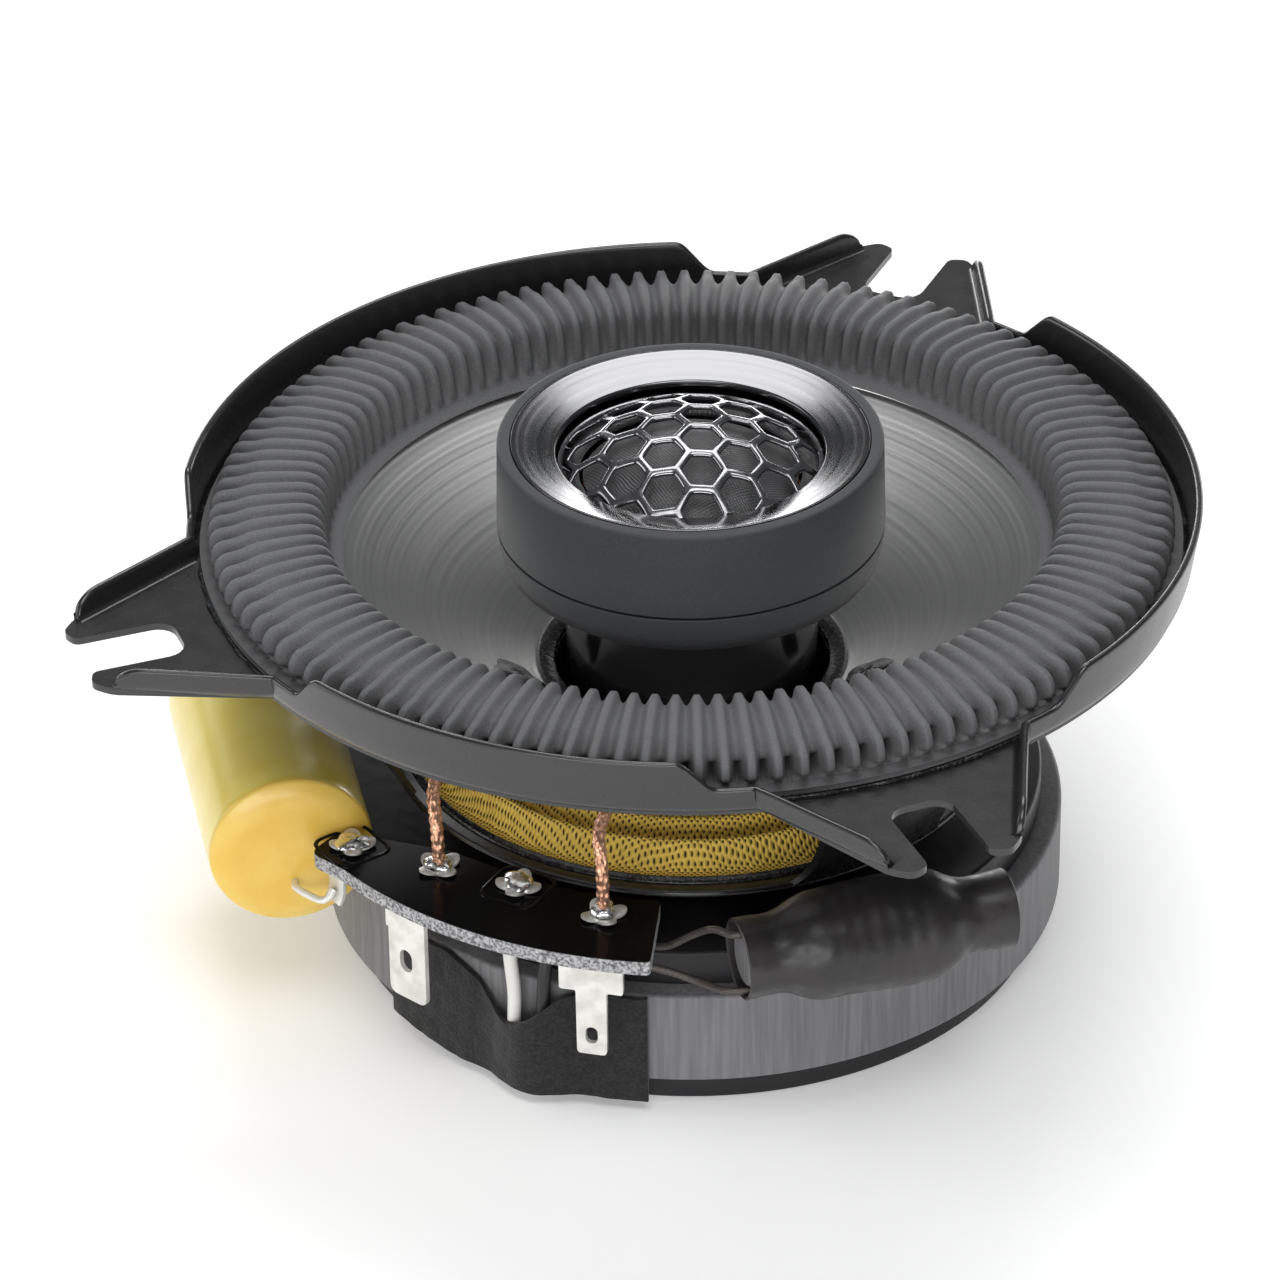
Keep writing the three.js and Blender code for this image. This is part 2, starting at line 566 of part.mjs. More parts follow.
const yokeFloor = podBottom + POD_FLOOR + GAP;
const YOKE_WALL = 2.4;
const COIL_GAP = 1.2; // dome's edge to the yoke's wall
const YOKE_FLOOR_T = 2.4;
const YOKE_H = 7.5; // from the pod's floor to the yoke's top
const yokeTop = podBottom + YOKE_H;
const yokeInnerR = domeR + COIL_GAP;
const yokeR = yokeInnerR + YOKE_WALL;
add(
  "tweeter_yoke",
  turned(
    [
      [0, yokeFloor], [yokeR, yokeFloor], [yokeR, yokeTop], [yokeInnerR, yokeTop],
      [yokeInnerR, yokeFloor + YOKE_FLOOR_T], [0, yokeFloor + YOKE_FLOOR_T],
    ],
    SMALL_SEGMENTS,
  ),
  "bare_steel",
);
const tweeterMagnetLow = yokeFloor + YOKE_FLOOR_T + GAP;
const TWEETER_MAGNET_H = 2;
const tweeterPlateLow = tweeterMagnetLow + TWEETER_MAGNET_H + GAP;
add("tweeter_magnet", disc(domeR - 1.4, tweeterMagnetLow, tweeterMagnetLow + TWEETER_MAGNET_H, SMALL_SEGMENTS), "bare_steel");
add("tweeter_top_plate", disc(domeR - 0.6, tweeterPlateLow, yokeTop, SMALL_SEGMENTS), "bare_steel");
const SEAT_H = 2; // height of the face ring
const domeSeat = yokeTop + SEAT_H;
add("tweeter_coil_former", ring(domeR - 0.2, domeR, tweeterPlateLow, domeSeat, SMALL_SEGMENTS), "bare_steel");
add("tweeter_coil_winding", ring(domeR + GAP, domeR + 0.6, tweeterPlateLow + 0.2, yokeTop - 0.2, SMALL_SEGMENTS), "copper");
add("tweeter_dome", cap(domeR + 0.1, domeSeat + GAP, domeSeat + GAP + DOME_RISE, 0.3, SMALL_SEGMENTS, 4), "dome_cloth");
add(
  "tweeter_face_ring",
  ring(bezelHoleR - 0.2, podInnerR - 0.5, yokeTop + GAP, domeSeat, SMALL_SEGMENTS),
  "black_plastic",
);
add(
  "tweeter_suspension",
  turned(
    [
      [domeR + 0.5, domeSeat + GAP], [domeR + 1.1, domeSeat + 0.5], [bezelHoleR - 0.9, domeSeat + GAP],
      [bezelHoleR + 1.2, domeSeat + GAP], [bezelHoleR + 1.2, domeSeat + 0.5],
      [bezelHoleR - 0.7, domeSeat + 0.5], [domeR + 1.1, domeSeat + 0.8], [domeR + 0.5, domeSeat + 0.5],
    ],
    SMALL_SEGMENTS,
  ),
  "dome_cloth",
);

// ---- Terminal board, its terminals and their solder ----
const boardOutline = [
  polar(42.4, 236.2), ...arc(BOARD_OUTER_R, 242, BOARD_END), ...arc(BOARD_INNER_R, BOARD_END, 257),
  polar(32.4, 248), polar(35.6, 239.5), polar(38.5, 234),
];
const barrelHoles = Object.values(TERMINALS).map(({ r, angle }) =>
  disc(BARREL_R + GAP, boardBottom - 1, boardTop + 1, TINY_SEGMENTS).translate(...polar(r, angle).toArray(), 0),
);
add("terminal_board", cut(raised(boardOutline, boardBottom, boardTop), ...barrelHoles), "board_fibre");

// A terminal's barrel passes up through the board and is flared over its top face.
const PETAL_LOW = boardTop + GAP;
const PETAL_HIGH = PETAL_LOW + 0.5;
function barrel({ r, angle }) {
  const { x, y } = polar(r, angle);
  return turned(
    [
      [0, tabTop - TAB_T], [BARREL_R, tabTop - TAB_T], [BARREL_R, PETAL_LOW], [PETAL_R, PETAL_LOW],
      [PETAL_R, PETAL_HIGH], [0, PETAL_HIGH],
    ],
    TINY_SEGMENTS,
  ).translate(x, y, 0);
}
// A blade hangs down at the end of a tongue. The outline is across the blade, and the depth is its thickness.
function blade(outline, hole, angle) {
  const shape = new THREE.Shape(outline.map(([x, z]) => new THREE.Vector2(x, z)));
  shape.holes.push(new THREE.Path(hole.map(([x, z]) => new THREE.Vector2(x, z))));
  return new THREE.ExtrudeGeometry(shape, { depth: TAB_T, bevelEnabled: false })
    .rotateX(Math.PI / 2)
    .translate(0, -TAB_FALL_R, 0)
    .rotateZ(radians(angle - 270));
}
function slotHole(width, low, high) {
  const r = width / 2;
  const steps = [0, 45, 90, 135, 180];
  const upper = steps.map((a) => [r * Math.cos(radians(a)), high - r + r * Math.sin(radians(a))]);
  const lower = steps.map((a) => [-r * Math.cos(radians(a)), low + r - r * Math.sin(radians(a))]);
  return [...upper, ...lower];
}
// The tongue runs under the board from the barrel to the blade.
function tongue({ r, angle }, bladeAngle, width) {
  const from = polar(r, angle);
  const to = polar(TAB_FALL_R, bladeAngle);
  const along = to.clone().sub(from);
  const length = along.length() + TAB_T;
  return new THREE.BoxGeometry(length + width / 2, width, TAB_T)
    .translate((length - width / 2) / 2, 0, tabTop - TAB_T / 2)
    .rotateZ(Math.atan2(along.y, along.x))
    .translate(from.x, from.y, 0);
}
const CHAMFER = 0.9;
const WIDE_BLADE_ANGLE = 252.7;
const NARROW_BLADE_ANGLE = 280;
const WIDE_HOLE_W = 1.5;
const NARROW_HOLE_W = 1.1;
const wideHalf = WIDE_TAB_W / 2;
const wideOutline = [
  [-wideHalf, tabTop], [-wideHalf, wideTabLow + CHAMFER], [-wideHalf + CHAMFER, wideTabLow],
  [wideHalf - CHAMFER, wideTabLow], [wideHalf, wideTabLow + CHAMFER], [wideHalf, tabTop],
];
add(
  "positive_tab",
  join(
    barrel(TERMINALS.positive_tab),
    tongue(TERMINALS.positive_tab, WIDE_BLADE_ANGLE, 3.4),
    blade(wideOutline, slotHole(WIDE_HOLE_W, wideTabLow + 3, wideTabLow + 5.2), WIDE_BLADE_ANGLE),
  ),
  "tinned_metal",
);
const narrowHalf = NARROW_TAB_W / 2;
const shoulderHalf = NARROW_SHOULDER_W / 2;
const narrowOutline = [
  [-shoulderHalf, tabTop], [-shoulderHalf, shoulderLow], [-narrowHalf, shoulderLow],
  [-narrowHalf, narrowTabLow + CHAMFER / 2], [-narrowHalf + CHAMFER / 2, narrowTabLow],
  [narrowHalf - CHAMFER / 2, narrowTabLow], [narrowHalf, narrowTabLow + CHAMFER / 2],
  [narrowHalf, shoulderLow], [shoulderHalf, shoulderLow], [shoulderHalf, tabTop],
];
add(
  "negative_tab",
  join(
    barrel(TERMINALS.negative_tab),
    tongue(TERMINALS.negative_tab, NARROW_BLADE_ANGLE, 3.4),
    blade(narrowOutline, slotHole(NARROW_HOLE_W, narrowTabLow + 1.1, narrowTabLow + 2.9), NARROW_BLADE_ANGLE),
  ),
  "tinned_metal",
);
const TAG_DROP = 3.6;
const tagSpot = polar(TERMINALS.solder_tag.r + 1.6, TERMINALS.solder_tag.angle);
const tagStrip = new THREE.BoxGeometry(TAB_T, 2.4, TAG_DROP)
  .rotateZ(radians(TERMINALS.solder_tag.angle))
  .translate(tagSpot.x, tagSpot.y, tabTop - TAG_DROP / 2);
const tagTongue = new THREE.BoxGeometry(2.4, 2.4, TAB_T)
  .translate(TERMINALS.solder_tag.r + 0.8, 0, tabTop - TAB_T / 2)
  .rotateZ(radians(TERMINALS.solder_tag.angle));
add("solder_tag", join(barrel(TERMINALS.solder_tag), tagTongue, tagStrip), "tinned_metal");
add("spare_rivet", barrel(TERMINALS.spare_rivet), "tinned_metal");

const SOLDER_R = 1.4;
for (const [name, { r, angle }] of Object.entries(TERMINALS)) {
  const { x, y } = polar(r, angle);
  const low = PETAL_HIGH + GAP;
  const blob = turned([[0, low], [SOLDER_R, low], [SOLDER_R * 0.7, low + 0.6], [0, low + 0.9]], TINY_SEGMENTS);
  add("solder_" + name, blob.translate(x, y, 0), "solder");
}

// ---- Capacitor: a wound roll in a film wrap, filled with epoxy at both ends ----
const capacitorLength = Math.hypot(CAPACITOR_BACK[0] - CAPACITOR_FRONT[0], CAPACITOR_BACK[1] - CAPACITOR_FRONT[1]);
const WRAP_T = 0.6;
const FILL_H = 1.6;
const FILL_RECESS = 0.3;
const rollR = CAPACITOR_R - WRAP_T - GAP;
const inCapacitor = (geometry) => laidBetween(geometry, CAPACITOR_FRONT, CAPACITOR_BACK, capacitorZ);
add("capacitor_wrap", inCapacitor(ring(CAPACITOR_R - WRAP_T, CAPACITOR_R, 0, capacitorLength, SMALL_SEGMENTS)), "capacitor_film");
add(
  "capacitor_roll",
  inCapacitor(disc(rollR, FILL_H + GAP, capacitorLength - FILL_H - GAP, SMALL_SEGMENTS)),
  "capacitor_film",
);
add("capacitor_fill_front", inCapacitor(disc(rollR, -FILL_RECESS, FILL_H, SMALL_SEGMENTS)), "epoxy");
add(
  "capacitor_fill_back",
  inCapacitor(disc(rollR, capacitorLength - FILL_H, capacitorLength + FILL_RECESS, SMALL_SEGMENTS)),
  "epoxy",
);
const capacitorOut = new THREE.Vector3(
  CAPACITOR_FRONT[0] - CAPACITOR_BACK[0],
  CAPACITOR_FRONT[1] - CAPACITOR_BACK[1],
  0,
).normalize();
const frontLeadStart = new THREE.Vector3(CAPACITOR_FRONT[0], CAPACITOR_FRONT[1], capacitorZ - 4.2)
  .addScaledVector(capacitorOut, FILL_RECESS + GAP);
add(
  "capacitor_lead_front",
  wire(
    [
      frontLeadStart,
      frontLeadStart.clone().addScaledVector(capacitorOut, 1.2),
      at(42.4, 236.8, 15.2),
      at(41.3, 238, 15.6),
    ],
    LEAD_R,
    8,
  ),
  "tinned_metal",
);

// ---- Inductor: a wire winding on a core, in a heat-shrink sleeve ----
const inductorLength = Math.hypot(INDUCTOR_FAR[0] - INDUCTOR_NEAR[0], INDUCTOR_FAR[1] - INDUCTOR_NEAR[1]);
const inInductor = (geometry) => laidBetween(geometry, INDUCTOR_NEAR, INDUCTOR_FAR, inductorZ);
const SHOULDER_NEAR = 5;
const SHOULDER_FAR = 19.5;
const SHOULDER_RUN = 1.6;
const sleeveStations = [
  [INDUCTOR_END_R, 0], [INDUCTOR_END_R, SHOULDER_NEAR], [INDUCTOR_R, SHOULDER_NEAR + SHOULDER_RUN],
  [INDUCTOR_R, SHOULDER_FAR], [INDUCTOR_END_R, SHOULDER_FAR + SHOULDER_RUN], [INDUCTOR_END_R, inductorLength],
];
add(
  "inductor_sleeve",
  inInductor(
    turned([...sleeveStations, ...sleeveStations.map(([r, z]) => [r - SLEEVE_T, z]).reverse()], SMALL_SEGMENTS),
  ),
  "heat_shrink",
);
const CORE_R = 2.6;
add("inductor_core", inInductor(disc(CORE_R, 0.4, inductorLength - 0.8, TINY_SEGMENTS)), "ferrite");
add(
  "inductor_winding",
  inInductor(ring(CORE_R + GAP, INDUCTOR_R - SLEEVE_T - GAP, SHOULDER_NEAR + SHOULDER_RUN, SHOULDER_FAR, SMALL_SEGMENTS)),
  "copper",
);
const inductorRoutes = {
  inductor_lead_inner: [
    new THREE.Vector3(18.7, -34.7, 22.4), new THREE.Vector3(16.4, -33.8, 21.8),
    new THREE.Vector3(14, -33, 20), new THREE.Vector3(11.6, -33.4, 18.4), new THREE.Vector3(9, -33.8, 18.2),
  ],
  inductor_lead_outer: [
    new THREE.Vector3(18.4, -35.4, 16.6), new THREE.Vector3(15.6, -35.2, 16.7),
    new THREE.Vector3(12.6, -35.4, 17.2), new THREE.Vector3(9, -36.2, 17.8),
  ],
};
for (const [name, route] of Object.entries(inductorRoutes)) {
  add(name, wire(route, LEAD_R, 12), "copper");
}

// ---- Tweeter wires: from under the board, down the magnet's side under tape, and up the pole's vent ----
const wireHeight = LABEL_H + GAP + WIRE_R + 0.25;
const wireRoute = (angle, side, startR, startAngle) => [
  at(startR, startAngle, tabTop - 1.6), at(MAGNET_R + 0.7, (startAngle + angle) / 2, tabTop - 3),
  at(MAGNET_R + 1.15, angle, magnetTop - 1), at(MAGNET_R + 1.15, angle, magnetBottom + 1.4),
  new THREE.Vector3(side * 1.1, -MAGNET_R + 0.4, wireHeight), new THREE.Vector3(side, -backPlateR + 2.5, wireHeight),
  new THREE.Vector3(side, -3, wireHeight), new THREE.Vector3(side, -0.7, wireHeight + 1.3),
  new THREE.Vector3(side, 0, 6), new THREE.Vector3(side, 0, podBottom + POD_FLOOR - 0.5),
];
add("tweeter_wire_white", wire(wireRoute(266.3, -1, 34.2, 264.3), WIRE_R, 24), "white_insulation");
add("tweeter_wire_black", wire(wireRoute(271, 1, 34.4, 271.6), WIRE_R, 24), "black_insulation");

// The tape bulges over the two wires, and its top edge dips where they go in.
const TAPE_START = 241.5;
const TAPE_END = 286.4;
const TAPE_BULGE_AT = 268.6;
const TAPE_BULGE_HALF = 9;
const tapeBulge = (angle) =>
  Math.abs(angle - TAPE_BULGE_AT) < TAPE_BULGE_HALF
    ? (1 + Math.cos((Math.PI * (angle - TAPE_BULGE_AT)) / TAPE_BULGE_HALF)) / 2
    : 0;
const tapeR = (angle) => MAGNET_R + GAP + (2 * WIRE_R + 0.9) * tapeBulge(angle);
const tapeAngles = Array.from({ length: 24 }, (_, i) => TAPE_START + ((TAPE_END - TAPE_START) * i) / 23);
const tapeOutline = [
  ...tapeAngles.map((angle) => polar(tapeR(angle) + TAPE_T, angle)),
  ...tapeAngles.map((angle) => polar(tapeR(angle), angle)).reverse(),
];
const TAPE_DROP = 1; // how far the tape reaches below the magnet
const TAPE_RISE = 0.4; // and above it
const tapeLow = magnetBottom - TAPE_DROP;
const tapeHigh = magnetTop + TAPE_RISE;
const tapeDip = new THREE.CylinderGeometry(5, 5, 12, TINY_SEGMENTS * 2)
  .translate(0, -MAGNET_R, 0)
  .rotateZ(radians(TAPE_BULGE_AT - 270 - 2))
  .translate(0, 0, tapeHigh + 1.2);
add("insulation_tape", cut(raised(tapeOutline, tapeLow, tapeHigh), tapeDip), "tape_cloth");

export default speaker;
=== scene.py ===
import bmesh
import bpy
import numpy as np
from mathutils import Matrix, Vector
from mathutils.geometry import tessellate_polygon


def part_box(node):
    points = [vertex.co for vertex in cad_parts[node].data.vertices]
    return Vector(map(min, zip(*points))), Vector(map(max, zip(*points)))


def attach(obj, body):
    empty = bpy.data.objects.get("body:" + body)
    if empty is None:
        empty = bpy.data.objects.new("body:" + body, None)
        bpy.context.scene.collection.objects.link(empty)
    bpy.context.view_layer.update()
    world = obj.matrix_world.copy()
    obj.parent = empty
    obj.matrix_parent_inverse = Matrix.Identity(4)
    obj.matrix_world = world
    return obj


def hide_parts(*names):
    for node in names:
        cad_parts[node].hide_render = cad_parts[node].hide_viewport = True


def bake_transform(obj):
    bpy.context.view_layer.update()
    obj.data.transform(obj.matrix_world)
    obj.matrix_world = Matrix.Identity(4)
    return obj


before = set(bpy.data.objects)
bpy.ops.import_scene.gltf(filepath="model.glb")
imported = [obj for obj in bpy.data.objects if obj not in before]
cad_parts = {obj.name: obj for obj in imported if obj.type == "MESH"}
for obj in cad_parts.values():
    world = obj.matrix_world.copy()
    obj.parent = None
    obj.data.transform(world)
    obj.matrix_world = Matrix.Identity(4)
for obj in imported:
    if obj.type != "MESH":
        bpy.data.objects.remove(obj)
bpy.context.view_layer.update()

mm = 0.001

# ---- View, floor and light ----
# A long lens looks down at the front edge of the speaker, which lies on its magnet on a pale table.
# One soft light hangs over the back and one over the front. Pale cards stand behind it, in front of it and at
# its left.
eye = Vector((201.9, -466.6, 348.3)) * mm
right, up, ahead = (0.91673, 0.39936, -0.01163), (-0.20321, 0.49112, 0.84698), (-0.34397, 0.77415, -0.53146)
lens = bpy.data.cameras.new("long_lens")
lens.lens = 177.3
lens.sensor_width = 36
lens.clip_start = 0.01
camera = bpy.data.objects.new("camera", lens)
camera.matrix_world = Matrix([
    (right[0], up[0], -ahead[0], eye.x),
    (right[1], up[1], -ahead[1], eye.y),
    (right[2], up[2], -ahead[2], eye.z),
    (0, 0, 0, 1),
])
bpy.context.collection.objects.link(camera)
bpy.context.scene.camera = camera


def soft_light(name, place, aim, width, height, watts):
    """A rectangular lamp at place that faces aim."""
    lamp = bpy.data.lights.new(name, "AREA")
    lamp.shape = "RECTANGLE"
    lamp.size, lamp.size_y, lamp.energy = width, height, watts
    holder = bpy.data.objects.new(name, lamp)
    holder.location = place
    holder.rotation_euler = (Vector(aim) - Vector(place)).to_track_quat("-Z", "Y").to_euler()
    bpy.context.collection.objects.link(holder)


soft_light("back_softbox", (-0.14, 0.33, 0.66), (0, 0, 0.04), 0.48, 0.34, 2.5)
soft_light("top_front_softbox", (0.18, -0.32, 0.82), (0, 0, 0.03), 0.6, 0.5, 3.9)
soft_light("low_back_card", (-0.62, 1.4, 0.13), (0, 0, 0.05), 2.6, 0.28, 16)
soft_light("front_card", (0.3, -1.1, 0.24), (0, 0, 0.02), 1.2, 0.36, 6)
soft_light("left_card", (-0.9, -0.35, 0.3), (0, 0, 0.03), 0.5, 0.5, 2)

world = bpy.data.worlds.new("pale_room")
world.use_nodes = True
world.node_tree.nodes["Background"].inputs["Color"].default_value = (0.95, 0.97, 1, 1)
world.node_tree.nodes["Background"].inputs["Strength"].default_value = 0.14
bpy.context.scene.world = world
bpy.context.scene.view_settings.view_transform = "Standard"


def node(made, kind, inputs=None, **settings):
    """A shader node of the material, with its settings made and its inputs joined or given values."""
    new = made.node_tree.nodes.new("ShaderNode" + kind)
    for key, value in settings.items():
        setattr(new, key, value)
    for key, value in (inputs or {}).items():
        if isinstance(value, bpy.types.NodeSocket):
            made.node_tree.links.new(value, new.inputs[key])
        else:
            new.inputs[key].default_value = value
    return new


def paint(name, colour, roughness, patches=None, bumps=None, **sockets):
    """A Principled material. patches are the size and detail of a patchy polish and its two roughnesses.
    bumps are the size, detail and depth of a fine grain. Other sockets have underscores for spaces."""
    made = bpy.data.materials.new(name)
    made.use_nodes = True
    shader = made.node_tree.nodes["Principled BSDF"]
    shader.inputs["Base Color"].default_value = (*colour, 1)
    shader.inputs["Roughness"].default_value = roughness
    for key, value in sockets.items():
        shader.inputs[key.replace("_", " ")].default_value = value
    if patches:
        polish(made, spots(made, *patches[:2]), *patches[2:])
    if bumps:
        grain(made, spots(made, *bumps[:2]), bumps[2])
    return made


def into(made, socket, source):
    """Joins a node's output to one of the shader's own inputs."""
    made.node_tree.links.new(source, made.node_tree.nodes["Principled BSDF"].inputs[socket])


def spots(made, size, detail=3, stretch=(1, 1, 1)):
    """Soft noise in the object's own space, with features of about size millimetres."""
    place = node(made, "TexCoord").outputs["Object"]
    spread = node(made, "Mapping", {"Vector": place, "Scale": stretch}).outputs["Vector"]
    noise = node(made, "TexNoise", {"Vector": spread, "Scale": 1 / (size * mm), "Detail": detail})
    return noise.outputs["Fac"]


def ranged(made, value, low, high, to_low=0.0, to_high=1.0):
    """Carries a value from the range low to high into another range, and holds it at the ends."""
    return node(made, "MapRange", {
        "Value": value, "From Min": low, "From Max": high, "To Min": to_low, "To Max": to_high,
    }).outputs["Result"]


def between(made, share, one, other):
    """A colour part of the way from one to the other. Each is a plain colour or another node's output."""
    one, other = (c if isinstance(c, bpy.types.NodeSocket) else (*c, 1) for c in (one, other))
    # the node holds float, vector and colour sockets of the same names, so the colour ones are found by place
    return node(made, "Mix", {0: share, 6: one, 7: other}, data_type="RGBA").outputs[2]


def grain(made, height, depth):
    """Raises the surface by a height pattern, up to depth millimetres."""
    into(made, "Normal", node(made, "Bump", {
        "Height": height, "Distance": depth * mm, "Strength": 1,
    }).outputs["Normal"])


def mottle(made, pattern, dark, light, low=0.35, high=0.65):
    """Colours the surface between two colours by a pattern."""
    into(made, "Base Color", between(made, ranged(made, pattern, low, high), dark, light))


def polish(made, pattern, low, high):
    """Varies the roughness between two values by a pattern."""
    into(made, "Roughness", ranged(made, pattern, 0.3, 0.7, low, high))


def mesh_of(name, points, faces, uv=None, sharp=35):
    """A closed mesh with outward faces. The signed volume of the faces' fans says which way they point."""
    faces = np.asarray(faces)
    first = points[faces[:, 0]]
    fans = [(first, points[faces[:, k]], points[faces[:, k + 1]]) for k in range(1, faces.shape[1] - 1)]
    volume = sum(np.einsum("ij,ij->i", a, np.cross(b, c)).sum() for a, b, c in fans)
    if volume < 0:
        faces = faces[:, ::-1]
        uv = None if uv is None else uv[:, ::-1]
    mesh = bpy.data.meshes.new(name)
    mesh.vertices.add(len(points))
    mesh.vertices.foreach_set("co", (points * mm).astype(np.float32).ravel())
    mesh.loops.add(faces.size)
    mesh.loops.foreach_set("vertex_index", faces.astype(np.int32).ravel())
    mesh.polygons.add(len(faces))
    mesh.polygons.foreach_set("loop_start", np.arange(len(faces), dtype=np.int32) * faces.shape[1])
    mesh.update(calc_edges=True)
    if uv is not None:
        mesh.uv_layers.new(name="UVMap").data.foreach_set("uv", uv.astype(np.float32).ravel())
    mesh.validate()
    mesh.shade_smooth()
    mesh.set_sharp_from_angle(angle=np.radians(sharp))
    piece = bpy.data.objects.new(name, mesh)
    bpy.context.collection.objects.link(piece)
    return piece


def merge(piece):
    """Joins points that lie in one place, which closes poles and the ends of a swept shape."""
    work = bmesh.new()
    work.from_mesh(piece.data)
    bmesh.ops.remove_doubles(work, verts=work.verts, dist=2e-7)
    bmesh.ops.dissolve_degenerate(work, edges=work.edges, dist=1e-8)
    work.to_mesh(piece.data)
    work.free()
    return piece


def skin(name, grid, rows_close=True, columns_close=True, sharp=35):
    """A surface through a grid of points: each is joined to its neighbours by quads. UV is row and column."""
    rows, columns = grid.shape[:2]
    i = np.arange(rows if rows_close else rows - 1)[:, None]
    j = np.arange(columns if columns_close else columns - 1)[None, :]
    steps = ((0, 0), (1, 0), (1, 1), (0, 1))
    faces = np.stack([((i + a) % rows) * columns + (j + b) % columns for a, b in steps], -1).reshape(-1, 4)
    corners = [np.broadcast_arrays((i + a) / rows, (j + b) / columns) for a, b in steps]
    uv = np.stack([np.stack(c, -1) for c in corners], -2).reshape(-1, 4, 2)
    return merge(mesh_of(name, grid.reshape(-1, 3), faces, uv, sharp))


def capped(name, grid, sharp=35):
    """A skin open along its rows, whose first and last rows are each drawn together to a point."""
    ends = [np.broadcast_to(grid[k].mean(0), grid[k].shape)[None] for k in (0, -1)]
    return skin(name, np.concatenate([ends[0], grid, ends[1]]), rows_close=False, sharp=sharp)


def polar(radius, angle, height):
    """Points from a radius, an angle in radians and a height."""
    return np.stack(np.broadcast_arrays(radius * np.cos(angle), radius * np.sin(angle), height), -1)


def eased(outline, radius, steps=5):
    """A closed outline with each corner rounded: points slide along a curve from one side to the next."""
    outline = np.asarray(outline, float)
    back, on = np.roll(outline, 1, 0) - outline, np.roll(outline, -1, 0) - outline
    back_long, on_long = np.linalg.norm(back, axis=1), np.linalg.norm(on, axis=1)
    reach = np.minimum(radius, 0.48 * np.minimum(back_long, on_long))[:, None]
    start, end = outline + back / back_long[:, None] * reach, outline + on / on_long[:, None] * reach
    t = np.linspace(0, 1, steps)[None, :, None]
    curve = (1 - t) ** 2 * start[:, None] + 2 * t * (1 - t) * outline[:, None] + t ** 2 * end[:, None]
    return curve.reshape(-1, outline.shape[1])


def spun(name, outline, turns=240, sharp=35):
    """A closed outline of (radius, height) carried once round the Z axis."""
    outline = np.asarray(outline, float)
    angle = np.linspace(0, 2 * np.pi, turns, endpoint=False)[:, None]
    return skin(name, polar(outline[None, :, 0], angle, outline[None, :, 1]), sharp=sharp)


def tube(inner, outer, low, high, corner):
    """The outline of a ring of square section with rounded corners."""
    return eased([(inner, low), (outer, low), (outer, high), (inner, high)], corner)


def plate(name, outlines, low, high, sharp=35):
    """A flat plate between two heights: the first outline filled in, less the others, with walls round it."""
    loops = []
    for k, outline in enumerate(outlines):
        loop = np.asarray(outline, float)
        nxt = np.roll(loop, -1, 0)
        turns_left = (loop[:, 0] * nxt[:, 1] - nxt[:, 0] * loop[:, 1]).sum() > 0
        loops.append(loop if turns_left == (k == 0) else loop[::-1])
    flat = np.concatenate(loops)
    tris = np.array(tessellate_polygon([[Vector((x, y, 0)) for x, y in loop] for loop in loops]))
    a, b, c = flat[tris[:, 0]], flat[tris[:, 1]], flat[tris[:, 2]]
    facing_down = (b[:, 0] - a[:, 0]) * (c[:, 1] - a[:, 1]) - (b[:, 1] - a[:, 1]) * (c[:, 0] - a[:, 0]) < 0
    tris[facing_down] = tris[facing_down][:, ::-1]
    starts = np.cumsum([0] + [len(loop) for loop in loops[:-1]])
    here = np.concatenate([s + np.arange(len(loop)) for s, loop in zip(starts, loops)])
    there = np.concatenate([s + (np.arange(len(loop)) + 1) % len(loop) for s, loop in zip(starts, loops)])
    n = len(flat)
    points = np.concatenate([np.c_[flat, np.full(n, low)], np.c_[flat, np.full(n, high)]])
    walls = np.concatenate([np.c_[here, there, there + n], np.c_[here, there + n, here + n]])
    return mesh_of(name, points, np.concatenate([tris + n, tris[:, ::-1], walls]), sharp=sharp)


def soften(piece, width, steps=2):
    """Rounds the edges of a plate by width millimetres."""
    edge = piece.modifiers.new("edge", "BEVEL")
    edge.width, edge.segments, edge.limit_method = width * mm, steps, "ANGLE"
    edge.angle_limit = np.radians(50)
    edge.harden_normals = False
    return piece


def circle(radius, around=(0, 0), steps=24, start=0.0, end=360.0, full=True):
    """Points on a circle, or on the arc from start to end degrees."""
    angle = np.radians(np.linspace(start, end, steps, endpoint=not full))
    return np.c_[around[0] + radius * np.cos(angle), around[1] + radius * np.sin(angle)]


def along(points, steps):
    """A smooth curve through points, by Catmull and Rom's blend of each four neighbours."""
    points = np.asarray(points, float)
    ends = np.concatenate([[2 * points[0] - points[1]], points, [2 * points[-1] - points[-2]]])
    place = np.linspace(0, len(points) - 1, steps)
    k = np.minimum(place.astype(int), len(points) - 2)
    t = (place - k)[:, None]
    a, b, c, d = ends[k], ends[k + 1], ends[k + 2], ends[k + 3]
    square, cube = 2 * a - 5 * b + 4 * c - d, 3 * b - a - 3 * c + d
    return 0.5 * (2 * b + (c - a) * t + square * t ** 2 + cube * t ** 3)


def swept(name, path, section, side, sharp=40):
    """A section carried along a path and closed at both ends. side is a direction that the path never takes.
    section is (points, 2), or (steps, points, 2) where it changes on the way."""
    tangent = np.gradient(path, axis=0)
    tangent /= np.linalg.norm(tangent, axis=1, keepdims=True)
    across = np.cross(tangent, np.asarray(side, float))
    across /= np.linalg.norm(across, axis=1, keepdims=True)
    over = np.cross(across, tangent)
    section = np.broadcast_to(section, (len(path), *np.shape(section)[-2:]))
    grid = path[:, None] + section[..., :1] * across[:, None] + section[..., 1:] * over[:, None]
    return capped(name, grid, sharp)


